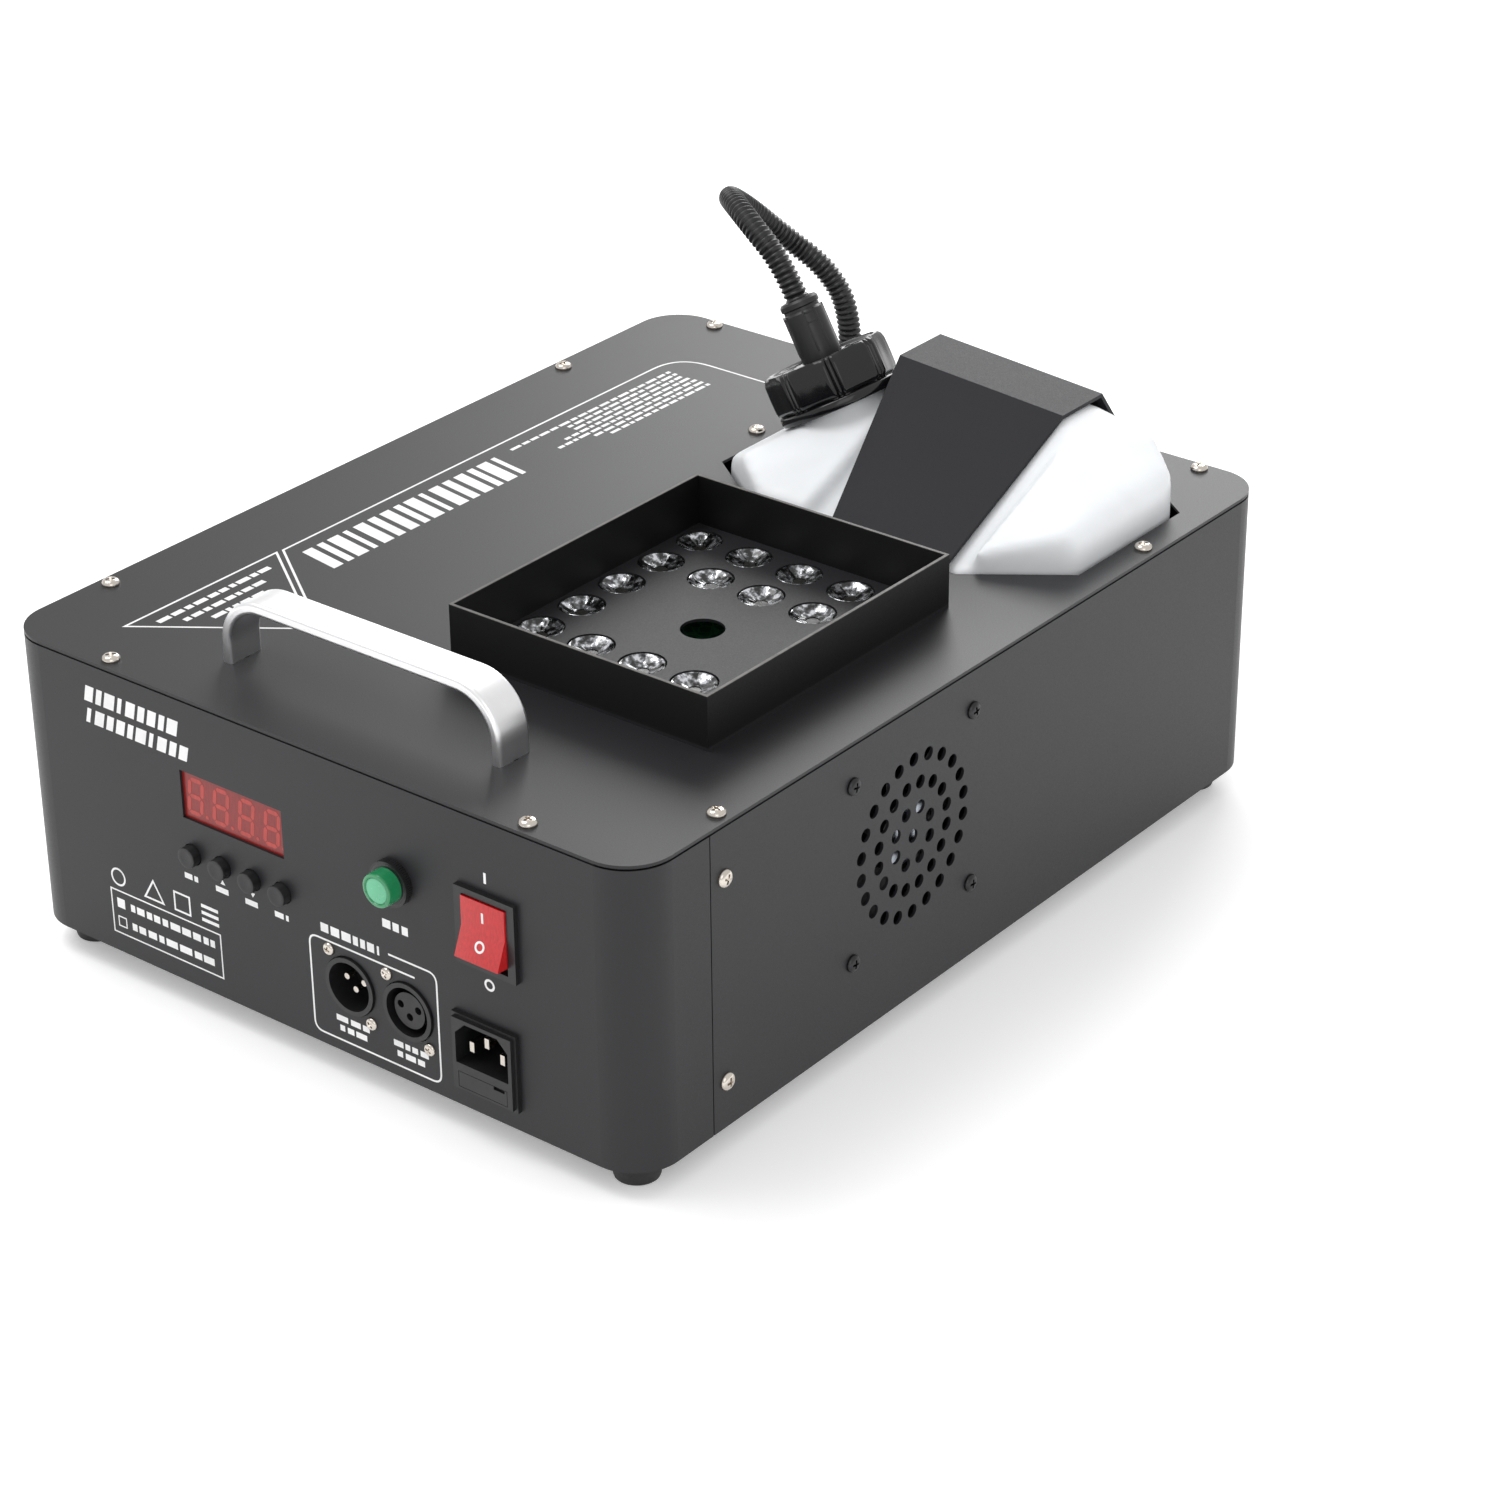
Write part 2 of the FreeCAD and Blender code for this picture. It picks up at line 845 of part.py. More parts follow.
def heater_block():
    body = new_body("HeaterBlock")
    half = (heater_width / 2, heater_depth / 2)
    low = (nozzle_x - half[0], nozzle_y - half[1])
    high = (nozzle_x + half[0], nozzle_y + half[1])
    pad(
        body,
        rectangle(sketch_on(body, "XY_Plane", floor + heater_base), low, high),
        heater_height,
    )
    round_corners(body, 6, corners_of(low, high))
    bore = sketch_on(body, "XY_Plane", heater_top())
    circle(bore, (nozzle_x, nozzle_y), nozzle_thread + 2 * running_fit)
    pocket(body, bore, 24)
    return node("heater_block", body)


def fog_nozzle():
    """A threaded stub in the heater, a hexagon nut and a tube that ends below the shroud's hole."""
    seat = heater_top()
    tip = plate_top - nozzle_drop
    hexagon = doc.addObject("Part::Prism", "Hexagon")
    hexagon.Polygon = 6
    bind(hexagon, "Circumradius", nozzle_diameter * 0.9)
    bind(hexagon, "Height", 8)
    place(hexagon, (nozzle_x, nozzle_y, seat))
    blank = joined(
        rod(nozzle_thread, 11.5, (nozzle_x, nozzle_y, seat - 11.5)),
        hexagon,
        rod(nozzle_diameter, tip - seat - 4, (nozzle_x, nozzle_y, seat)),
        taper(nozzle_diameter, nozzle_diameter - 4, 4, (nozzle_x, nozzle_y, tip - 4)),
    )
    bore = rod(jet_bore, tip - seat + 30, (nozzle_x, nozzle_y, seat - 15))
    return node("fog_nozzle", cut(blank, bore))


def heater_stands():
    """Two folded brackets that hold the heater off the pan."""
    stands = []
    for side in (-1, 1):
        x = nozzle_x + side * (heater_width / 2 - 14)
        foot = middle_box((16, heater_depth + 34, gauge), (x, nozzle_y), pan_floor)
        table = middle_box(
            (16, heater_depth + 2 * gauge, gauge), (x, nozzle_y), floor + heater_base - gauge
        )
        legs = [
            middle_box(
                (16, gauge, heater_base - gauge),
                (x, nozzle_y + end * (heater_depth + gauge) / 2),
                pan_floor,
            )
            for end in (-1, 1)
        ]
        stands.append(joined(foot, table, *legs))
    return node("heater_stands", group(*stands))


def heater_shield():
    """A folded cover over the heater, with a hole for the nozzle's nut."""
    gap = 6
    width = heater_width + 12
    depth = heater_depth + 2 * gap + 2 * gauge
    bottom = pan_floor + gauge
    height = heater_top() + gap + gauge - bottom
    outer = middle_box((width, depth, height), (nozzle_x, nozzle_y), bottom)
    inner = middle_box(
        (width + 10, depth - 2 * gauge, height), (nozzle_x, nozzle_y), bottom - gauge
    )
    hole = rod(26, 20, (nozzle_x, nozzle_y, heater_top()))
    return node("heater_shield", cut(outer, inner, hole))


def thermostat():
    """A bimetal switch on the heater's left end, with its two blades."""
    x = nozzle_x - heater_width / 2
    z = floor + heater_base + heater_height / 2
    can = rod(16, 7, (x, nozzle_y, z), "-X")
    blades = [box((9, 0.8, 6.3), (x - 15, nozzle_y + side * 4, z - 3)) for side in (-1, 1)]
    return node("thermostat", joined(can, *blades))


# ---------------------------------------------------------------- tank, cap and strap


def slope_points():
    """Where the tank's roof slopes end, measured in X, and how high its sides are."""
    low_left = plate_top + tank_left_side
    low_right = plate_top + tank_right_side
    rise = math.tan(math.radians(float(neck_tilt)))
    ridge_left = tank_x + (tank_top - low_left) / rise
    ridge_right = tank_x + tank_width - 42
    return low_left, low_right, ridge_left, ridge_right


def tank_block(inset, radius):
    """The tank's outer form, or its hollow when inset is the wall."""
    low_left, low_right, ridge_left, ridge_right = slope_points()
    far_x = tank_x + tank_width
    far_y = tank_y + tank_depth
    a = opening_chamfer_across - 0.5
    b = opening_chamfer_along - 0.5
    plan = [
        (tank_x + a, tank_y),
        (far_x - a, tank_y),
        (far_x, tank_y + b),
        (far_x, far_y - b),
        (far_x - a, far_y),
        (tank_x + a, far_y),
        (tank_x, far_y - b),
        (tank_x, tank_y + b),
    ]
    across = [
        (tank_x, tank_floor),
        (far_x, tank_floor),
        (far_x, low_right),
        (ridge_right, tank_top),
        (ridge_left, tank_top),
        (tank_x, low_left),
    ]
    along = [
        (tank_y, tank_floor),
        (far_y, tank_floor),
        (far_y, plate_top + 5.6),
        (far_y - 22, tank_top),
        (tank_y + 70, tank_top),
        (tank_y, plate_top + 5.6),
    ]
    height = float(tank_top - tank_floor) + 40
    below = float(tank_floor) - 20
    tall = softened([FreeCAD.Vector(float(x), float(y), below) for x, y in plan], inset, radius)
    wide = softened(
        [FreeCAD.Vector(float(x), float(tank_y) - 20, float(z)) for x, z in across],
        inset,
        radius,
    )
    deep = softened(
        [FreeCAD.Vector(float(tank_x) - 20, float(y), float(z)) for y, z in along],
        inset,
        radius,
    )
    tall = tall.extrude(FreeCAD.Vector(0, 0, height))
    wide = wide.extrude(FreeCAD.Vector(0, float(tank_depth) + 40, 0))
    deep = deep.extrude(FreeCAD.Vector(float(tank_width) + 40, 0, 0))
    return tall.common(wide).common(deep)


def strap_recess(grow):
    """The channel in the tank's front slope that the strap lies in, grown by a wall."""
    near = tank_x + strap_channel_start - grow
    far = strap_right() + strap_channel_margin + grow
    low = float(plate_top) - 5.4 - grow
    run = 98
    start = vector(near, tank_y - 8, low)
    slope_end = vector(near, tank_y - 8 + run, low + run * 0.47)
    top = float(tank_top) + 20
    section = [
        start,
        slope_end,
        FreeCAD.Vector(slope_end.x, slope_end.y, top),
        FreeCAD.Vector(start.x, start.y, top),
    ]
    return Part.Face(wire_of(section)).extrude(FreeCAD.Vector(float(far - near), 0, 0))


def neck_frame():
    """The placement of the neck: its origin is on the slope and +Z comes out of it."""
    low_left = slope_points()[0]
    across = 32.2
    rise = math.tan(math.radians(float(neck_tilt)))
    at = vector(tank_x + across, tank_y + tank_depth / 2, low_left + across * rise)
    tilt = FreeCAD.Rotation(FreeCAD.Vector(0, 1, 0), -float(neck_tilt))
    return FreeCAD.Placement(at, tilt)


# Levels along the neck's axis, from the slope that the neck stands on
NECK_TOP = 15.0
FLANGE_TOP = 16.8
WASHER_TOP = 17.8
CAP_TOP = 22.0
STEM_TOP = 46.0


def ring(outer, inner, low, high):
    """A ring about the neck's axis, given its diameters and its two levels."""
    tall = high - low
    base = FreeCAD.Vector(0, 0, low)
    blank = Part.makeCylinder(float(outer) / 2, tall, base)
    if inner is None:
        return blank
    return blank.cut(Part.makeCylinder(float(inner) / 2, tall, base))


def fluid_tank():
    outer = tank_block(0, 9)
    hollow = tank_block(float(tank_wall), 7)
    channel = strap_recess(0)
    inner_channel = strap_recess(float(tank_wall))
    neck = ring(neck_diameter, None, -6, NECK_TOP)
    bore = ring(neck_bore, None, -12, NECK_TOP + 1)
    for shape in (neck, bore):
        shape.Placement = neck_frame()
    solid = outer.cut(channel).fuse(neck)
    solid = solid.cut(hollow.cut(inner_channel)).cut(bore)
    return node("fluid_tank", shaped(solid.removeSplitter()))


def tank_tray():
    """A low sheet tray on the pan that keeps the tank in place and catches drips."""
    gap = 0.4
    low = (tank_x - gap - gauge, tank_y - gap - gauge)
    lengths = (tank_width + 2 * (gap + gauge), tank_depth + 2 * (gap + gauge))
    height = 32
    outer = box((*lengths, height), (*low, pan_floor))
    inner = box(
        (lengths[0] - 2 * gauge, lengths[1] - 2 * gauge, height),
        (low[0] + gauge, low[1] + gauge, pan_floor + gauge),
    )
    return node("tank_tray", cut(outer, inner))


def tank_cap():
    """A lobed screw cap with a collar, open below, with a hole for the fitting's stem."""
    body = ring(cap_diameter, None, 5.4, CAP_TOP - 1.6)
    crown = Part.makeCone(
        float(cap_diameter) / 2,
        float(cap_diameter) / 2 - 1.8,
        1.6,
        FreeCAD.Vector(0, 0, CAP_TOP - 1.6),
    )
    collar = ring(cap_diameter - 0.8, None, 1.0, 4.8)
    waist = ring(cap_diameter - 2.4, None, 1.0, 6.0)
    solid = body.fuse([crown, collar, waist])
    inside = ring(neck_diameter + 0.8, None, 0, WASHER_TOP + 0.1)
    hole = ring(stem_diameter + 2 * stem_clearance, None, 10, CAP_TOP + 5)
    solid = solid.cut([inside, hole])
    for k in range(8):
        angle = math.radians(45 * k + 22.5)
        away = float(cap_diameter) / 2 + 1.6
        groove = Part.makeCylinder(
            2.5,
            CAP_TOP,
            FreeCAD.Vector(away * math.cos(angle), away * math.sin(angle), 5.4),
        )
        solid = solid.cut(groove)
    return node("tank_cap", shaped(solid, neck_frame()))


def cap_washer():
    """The slip washer that the cap presses on, so that the hose stays still as the cap turns."""
    bore = stem_diameter + 2 * stem_clearance
    washer = ring(neck_diameter - 3, bore, FLANGE_TOP + 0.1, WASHER_TOP)
    return node("cap_washer", shaped(washer, neck_frame()))


def hose_fitting():
    """A stem through the cap, with a flange that is clamped on the neck's rim."""
    flange = ring(neck_diameter - 1, None, NECK_TOP, FLANGE_TOP)
    stem = ring(stem_diameter, None, FLANGE_TOP, STEM_TOP - 3)
    crown = Part.makeCone(
        float(stem_diameter) / 2, float(stem_diameter) / 2 - 1.2, 3, FreeCAD.Vector(0, 0, STEM_TOP - 3)
    )
    spigot = ring(9, None, NECK_TOP - 5, NECK_TOP)
    return node("hose_fitting", shaped(flange.fuse([stem, crown, spigot]), neck_frame()))


# The free part of the hose, from the gland's place on the top plate
HOSE_LOOP = [
    (-2.5, -61, 85.1),
    (-19.5, -52, 89.1),
    (-32.5, -38, 84.1),
    (-35.5, -21, 73.1),
    (-27.5, -9, 59.6),
    (-10.5, -2.5, 47.6),
    (0, 0, 30.6),
]


def hose_points():
    """The hose's route: out along the fitting, over the left side and down to the gland."""
    start = neck_frame().multVec(FreeCAD.Vector(0, 0, STEM_TOP))
    second = neck_frame().multVec(FreeCAD.Vector(0, 0, STEM_TOP + 14.5))
    gland_x, gland_y = gland_place()
    loop = [
        vector(gland_x + across, gland_y + along, plate_top + up)
        for across, along, up in HOSE_LOOP
    ]
    return [start, second, *loop, vector(gland_x, gland_y, gland_top())]


def gland_top():
    return plate_top + 12


def fluid_hose():
    return node("fluid_hose", shaped(tube_along("fluid_hose", hose_points(), hose_diameter)))


def hose_gland():
    """A hexagon gland with a dome above the plate and a nut below it."""
    x, y = gland_place()
    hexagon = doc.addObject("Part::Prism", "Hexagon")
    hexagon.Polygon = 6
    bind(hexagon, "Circumradius", 9)
    bind(hexagon, "Height", 5)
    place(hexagon, (x, y, plate_top))
    body = joined(
        hexagon,
        rod(12.2, gauge + 9, (x, y, plate_under - 9)),
        rod(15, 4, (x, y, plate_top + 5)),
        taper(15, 12, 3, (x, y, plate_top + 9)),
        rod(gland_nut, 3.5, (x, y, plate_under - 3.5)),
    )
    return node("hose_gland", body)


def pickup_tube():
    """The dip tube from the fitting down to the filter on the tank's floor."""
    start = neck_frame().multVec(FreeCAD.Vector(0, 0, NECK_TOP - 5))
    bend = neck_frame().multVec(FreeCAD.Vector(0, 0, -24))
    end = FreeCAD.Vector(bend.x, bend.y, float(tank_floor + tank_wall) + 16)
    return node("pickup_tube", shaped(tube_along("pickup_tube", [start, bend, end], 6)))


def pickup_filter():
    bend = neck_frame().multVec(FreeCAD.Vector(0, 0, -24))
    bottom = tank_floor + tank_wall + 0.5
    body = rod(16, 15.5, (bend.x, bend.y, bottom))
    slots = [
        box((20, 1.6, 9), (bend.x - 10, bend.y + offset, bottom + 2)) for offset in (-5, -0.8, 3.4)
    ]
    return node("pickup_filter", cut(body, *slots))


def strap_sections():
    """Left and right points of the strap's upper face at each fold, front to rear."""
    edge = float(strap_right())
    y = float(opening_y)
    level = float(plate_top + strap_gauge)
    ridge = float(tank_top) + 1.8
    end = float(rear)
    return [
        ((edge - 49, y - 17, level), (edge, y - 17, level)),
        ((edge - 52, y - 5, level), (edge, y + 0.6, level)),
        ((edge - 73, y + 71, ridge + 8.7), (edge, y + 77, ridge)),
        ((edge - 73, y + 98, ridge + 8.7), (edge, y + 104, ridge)),
        ((edge - 73, end - 10, level), (edge, end - 10, level)),
        ((edge - 73, end, level), (edge, end, level)),
    ]


def tank_bracket():
    """A folded strap over the tank, lofted through its folds so that they meet in mitres."""
    thick = float(strap_gauge)
    sections = strap_sections()
    wires = []
    for index, (left_end, right_end) in enumerate(sections):
        corners = []
        for side, point in enumerate((left_end, right_end)):
            slopes = []
            for near, far in ((index - 1, index), (index, index + 1)):
                if 0 <= near and far < len(sections):
                    a, b = sections[near][side], sections[far][side]
                    slopes.append(math.atan2(b[2] - a[2], b[1] - a[1]))
            middle = sum(slopes) / len(slopes)
            reach = thick / math.cos((slopes[-1] - slopes[0]) / 2)
            upper = FreeCAD.Vector(*point)
            lower = upper - FreeCAD.Vector(0, -math.sin(middle), math.cos(middle)) * reach
            corners.append((upper, lower))
        (upper_l, lower_l), (upper_r, lower_r) = corners
        wires.append(wire_of([lower_l, lower_r, upper_r, upper_l]))
    strap = Part.makeLoft(wires, True, True)
    level = float(plate_top)
    for x, y in strap_screw_places():
        strap = strap.cut(Part.makeCylinder(1.7, 20, vector(x, y, level - 5)))
    return node("tank_bracket", shaped(strap))


# ---------------------------------------------------------------- handle, feet and screws


def carry_handle():
    """A flat bar bent to a bow, with its screw holes in the ends of its legs."""
    half = float(handle_pitch / 2 + handle_bar / 2)
    bar = float(handle_bar)
    top = float(plate_top + handle_height)
    low = float(plate_top)
    bend = float(handle_bend)
    x = float(handle_x)
    y = float(handle_y)

    def arch(inset):
        side = half - inset
        crown = top - inset
        radius = bend - inset
        points = [
            FreeCAD.Vector(x - side, y, low),
            FreeCAD.Vector(x - side, y, crown - radius),
            FreeCAD.Vector(x - side + radius, y, crown),
            FreeCAD.Vector(x + side - radius, y, crown),
            FreeCAD.Vector(x + side, y, crown - radius),
            FreeCAD.Vector(x + side, y, low),
        ]
        slack = radius * (1 - math.sqrt(0.5))
        knees = [
            FreeCAD.Vector(x - side + slack, y, crown - slack),
            FreeCAD.Vector(x + side - slack, y, crown - slack),
        ]
        edges = [
            Part.LineSegment(points[0], points[1]).toShape(),
            Part.Arc(points[1], knees[0], points[2]).toShape(),
            Part.LineSegment(points[2], points[3]).toShape(),
            Part.Arc(points[3], knees[1], points[4]).toShape(),
            Part.LineSegment(points[4], points[5]).toShape(),
            Part.LineSegment(points[5], points[0]).toShape(),
        ]
        return Part.Face(Part.Wire(edges))

    face = arch(0).cut(arch(bar))
    bow = face.extrude(FreeCAD.Vector(0, float(handle_width), 0))
    long_edges = [
        edge
        for edge in bow.Edges
        if abs(edge.BoundBox.YLength) < 1e-3 and edge.BoundBox.ZMax > low + 1e-3
    ]
    bow = bow.makeFillet(bar * 0.34, long_edges)
    for at in handle_holes():
        bow = bow.cut(Part.makeCylinder(1.65, 14, vector(at[0], at[1], low - 1)))
    return node("carry_handle", shaped(bow))


def handle_screws():
    places = [(x, y, plate_under) for x, y in handle_holes()]
    return node("handle_screws", screws(places, "+Z", 7.5, 2.6, 3.2, 13))


def foot_places():
    near = (left + foot_inset, right - foot_inset)
    along = (front + foot_inset, rear - foot_inset)
    return [(x, y) for x in near for y in along]


def rubber_feet():
    made = []
    for x, y in foot_places():
        body = taper(foot_diameter - 3, foot_diameter, foot_height, (x, y, 0))
        bore = rod(4.2, foot_height, (x, y, 0))
        recess = rod(9, 6, (x, y, 0))
        made.append(cut(body, bore, recess))
    return node("rubber_feet", group(*made))


def foot_screws():
    places = [(x, y, 6) for x, y in foot_places()]
    return node("foot_screws", screws(places, "+Z", 7.4, 2.4, screw_shank, foot_height - 5))


def top_screws():
    places = [(x, y, plate_top) for x, y in top_screw_places()]
    return node("top_screws", screws(places, "-Z", screw_head, 2.2, screw_shank, 8))


def strap_screws():
    level = plate_top + strap_gauge
    places = [(x, y, level) for x, y in strap_screw_places()]
    return node("strap_screws", screws(places, "-Z", 5.6, 1.8, 3, 7))


def side_screws():
    made = []
    for x, towards in ((left, "+X"), (right, "-X")):
        places = [(x, side_screw_y(), z) for z in side_screw_levels()]
        made.append(screws(places, towards, screw_head, 2, screw_shank, 7))
    return node("side_screws", group(*made))


def fan_screws():
    places = [(right, y, z) for y, z in fan_screw_places()]
    return node("fan_screws", screws(places, "-X", 6.8, 1.8, 3.9, fan_thickness + 4))


# ---------------------------------------------------------------- fan


def fan_frame():
    """A square axial fan frame with struts that hold the motor plate on the inner side."""
    x = inner_right
    frame = box(
        (fan_thickness, fan_size, fan_size),
        (x - fan_thickness, fan_y - fan_size / 2, fan_z - fan_size / 2),
    )
    duct = rod(fan_size - 4, fan_thickness + 2, (x + 1, fan_y, fan_z), "-X")
    holes = [
        rod(4.1, fan_thickness + 2, (x + 1, y, z), "-X") for y, z in fan_screw_places()
    ]
    shell = cut(frame, duct, *holes)
    inner = x - fan_thickness
    plate = cut(
        rod(32, 2.5, (inner, fan_y, fan_z), "+X"),
        rod(fan_shaft + 2 * running_fit, 4, (inner - 0.5, fan_y, fan_z), "+X"),
    )
    reach = fan_size / 2 - 16.5
    struts = [
        middle_box((2.5, reach, 3), (inner + 1.25, fan_y + side * (15 + reach / 2)), fan_z - 1.5)
        for side in (-1, 1)
    ]
    struts += [
        middle_box((2.5, 3, reach), (inner + 1.25, fan_y), fan_z + low)
        for low in (15, -15 - reach)
    ]
    return node("fan_frame", joined(shell, plate, *struts))


def fan_rotor():
    """The hub and its seven raked blades, clear of the frame all round."""
    start = float(inner_right - fan_thickness) + 3.3
    depth = float(fan_thickness) - 5.6
    y, z = float(fan_y), float(fan_z)
    axis = FreeCAD.Vector(1, 0, 0)
    hub = Part.makeCylinder(15, depth, FreeCAD.Vector(start, y, z), axis)
    shaft = Part.makeCylinder(float(fan_shaft) / 2, 6, FreeCAD.Vector(start - 3.3, y, z), axis)
    reach = float(fan_size) / 2 - 3.6
    blade_width = 17
    blade = Part.makeBox(1.6, blade_width, reach - 12)
    blade.translate(FreeCAD.Vector(-0.8, -blade_width / 2, 12))
    blade.rotate(FreeCAD.Vector(0, 0, 0), FreeCAD.Vector(0, 0, 1), 48)
    blade.translate(FreeCAD.Vector(start + depth / 2, y, z))
    sweep = Part.makeCylinder(reach, depth, FreeCAD.Vector(start, y, z), axis)
    blade = blade.common(sweep)
    blades = []
    for k in range(7):
        turned = blade.copy()
        turned.rotate(FreeCAD.Vector(start, y, z), axis, 360 * k / 7)
        blades.append(turned)
    return node("fan_rotor", shaped(hub.fuse([shaft, *blades]).removeSplitter()))


# ---------------------------------------------------------------- control panel parts


def display_window():
    margin = 3
    body = box(
        (window_width + 2 * margin, window_thickness, window_height + 2 * margin),
        (left + window_left - margin, inner_front, floor + window_bottom - margin),
    )
    return node("display_window", body)


def display_module():
    """The four-digit display block behind the window."""
    depth = 7.5
    body = box(
        (window_width + 0.3, depth, window_height - 0.4),
        (
            left + window_left - 0.15,
            inner_front + window_thickness + 0.4,
            floor + window_bottom + 0.2,
        ),
    )
    return node("display_module", body)


def board_face():
    return inner_front + window_thickness + 0.4 + 7.5


def control_board():
    """The upright board behind the panel, with a push switch behind each menu button."""
    board = box(
        (window_width + 22, 1.6, 56),
        (left + window_left - 11, board_face(), floor + window_bottom - 24),
    )
    switches = []
    plunger_end = inner_front + 1.2 + menu_travel + 0.1
    for x in menu_places():
        z = floor + menu_level
        switches.append(middle_box((6, 5, 6), (x, board_face() - 2.5), z - 3))
        switches.append(rod(3, board_face() - plunger_end - 4, (x, plunger_end, z), "+Y"))
    chip = middle_box((14, 2.4, 9), (left + window_left + 62, board_face() + 2.6), floor + 60)
    return node("control_board", joined(board, chip, *switches))


def menu_button(label, x):
    """A round push button with a retaining flange behind the panel."""
    z = floor + menu_level
    stem = rod(menu_diameter, menu_proud + gauge + 0.6, (x, front - menu_proud, z), "+Y")
    flange = rod(menu_diameter + 2.6, 1.0, (x, inner_front + 0.2, z), "+Y")
    return node(label, joined(stem, flange))


def fog_button():
    """The green cap and its plunger, which slides in the bezel's bore."""
    cap = rod(fog_cap, fog_proud + 2, (fog_x, front - fog_proud, fog_z), "+Y")
    plunger = rod(6, 9, (fog_x, front + 2, fog_z), "+Y")
    return node("fog_button", joined(cap, plunger))


def fog_button_housing():
    """The black bezel, its threaded barrel behind the panel, its nut and its terminals."""
    bezel = rod(fog_bezel, fog_bezel_proud, (fog_x, front - fog_bezel_proud, fog_z), "+Y")
    barrel = rod(fog_bezel - 1.8, 22, (fog_x, front, fog_z), "+Y")
    nut = rod(fog_bezel + 1, 3, (fog_x, inner_front, fog_z), "+Y")
    terminals = [
        middle_box((0.8, 8, 4), (fog_x + side * 4, front + 25.5), fog_z - 2) for side in (-1, 1)
    ]
    cap_bore = rod(
        fog_cap + 2 * running_fit,
        fog_bezel_proud + 6.5,
        (fog_x, front - fog_bezel_proud - 0.5, fog_z),
        "+Y",
    )
    plunger_bore = rod(6 + 2 * running_fit, 16, (fog_x, front, fog_z), "+Y")
    solid = joined(bezel, barrel, nut, *terminals)
    return node("fog_button_housing", cut(solid, cap_bore, plunger_bore))


def rocker_pivot():
    return (front + 3, rocker_z)


def rocker_housing():
    """The switch's frame on the panel and its box behind it, open to the front."""
    frame = box(
        (rocker_frame_width, 2, rocker_frame_height),
        (
            rocker_x - rocker_frame_width / 2,
            front - 2,
            rocker_z - rocker_frame_height / 2,
        ),
    )
    body_width = rocker_frame_width - 2.7
    body_height = rocker_frame_height - 1.7
    body = middle_box(
        (body_width, 22, body_height), (rocker_x, front + 11), rocker_z - body_height / 2
    )
    hollow = box(
        (rocker_width + 0.5, 16, 2 * (rocker_half + 1.75)),
        (
            rocker_x - rocker_width / 2 - 0.25,
            front - 3,
            rocker_z - rocker_half - 1.75,
        ),
    )
    blades = [
        middle_box((6.3, 9, 0.8), (rocker_x, front + 26), rocker_z + up) for up in (-8, 0, 8)
    ]
    bearing = rocker_axle(2 * running_fit)
    return node("rocker_housing", cut(joined(frame, body, *blades), hollow, bearing))


def rocker_axle(extra):
    """The line of the two pins that the rocker tilts on."""
    y, z = rocker_pivot()
    length = rocker_width + 2 * rocker_pin_reach + extra
    return rod(rocker_pin + extra, length, (rocker_x - length / 2, y, z), "+X")


def rocker():
    """The red rocker, pressed in at its top: two faces that meet in a shallow V, and its pins."""
    y, z = rocker_pivot()
    tip = 8.0
    half = float(rocker_half)
    valley = tip - half * math.tan(math.radians(float(rocker_swing) / 2))
    profile = [
        (-tip, half),
        (-valley, 0),
        (-tip, -half),
        (0, -half + 0.8),
        (4.5, -4),
        (4.5, 4),
        (0, half - 0.8),
    ]
    width = float(rocker_width)
    side = float(rocker_x) - width / 2
    points = [FreeCAD.Vector(side, float(y) + a, float(z) + b) for a, b in profile]
    solid = Part.Face(wire_of(points)).extrude(FreeCAD.Vector(width, 0, 0))
    pressed = -float(rocker_swing) / 2
    solid.rotate(FreeCAD.Vector(0, float(y), float(z)), FreeCAD.Vector(1, 0, 0), pressed)
    return node("rocker", joined(shaped(solid, solid.Placement), rocker_axle(0)))


def chamfered_opening(width, height, chamfer, depth, x, z, face):
    """The inlet's recess: a rectangle whose two upper corners are cut off."""
    half = float(width) / 2
    tall = float(height) / 2
    cx, cz, y = float(x), float(z), float(face)
    outline_points = [
        (-half, -tall),
        (half, -tall),
        (half, tall - chamfer),
        (half - chamfer, tall),
        (-half + chamfer, tall),
        (-half, tall - chamfer),
    ]
    points = [FreeCAD.Vector(cx + a, y, cz + b) for a, b in outline_points]
    return Part.Face(wire_of(points)).extrude(FreeCAD.Vector(0, depth, 0))


def socket_z():
    return inlet_z + 4.6


def drawer_z():
    return inlet_z - 10.2


def power_inlet():
    """The mains inlet's stepped rim and body, with its recess and the fuse drawer's slot."""
    y = front - inlet_proud
    rim = middle_box(
        (inlet_width, inlet_proud * 0.55, inlet_height),
        (inlet_x, front - inlet_proud * 0.275),
        inlet_z - inlet_height / 2,
    )
    face = middle_box(
        (inlet_width - 2.4, inlet_proud, inlet_height - 2.4),
        (inlet_x, front - inlet_proud / 2),
        inlet_z - inlet_height / 2 + 1.2,
    )
    body = middle_box(
        (inlet_width - 2, 24, inlet_height - 2),
        (inlet_x, front + 12),
        inlet_z - inlet_height / 2 + 1,
    )
    shell = joined(rim, face, body)
    slot = middle_box(
        (22.4, 22, 6.4), (inlet_x, y + 10), drawer_z() - 3.2
    )
    recess = shaped(
        chamfered_opening(
            socket_width, socket_height, 4.5, float(socket_depth) + 1, inlet_x, socket_z(), y - 1
        )
    )
    return node("power_inlet", cut(shell, slot, recess, *inlet_blades()))


def inlet_blades():
    y = front - inlet_proud + 3
    return [
        middle_box((2, 33, 4), (inlet_x + across, y + 16.5), socket_z() + up - 2)
        for across, up in ((-7, -2), (7, -2), (0, 2))
    ]


def inlet_pins():
    """Two power pins and the earth pin above them, with their blades behind the body."""
    return node("inlet_pins", group(*inlet_blades()))


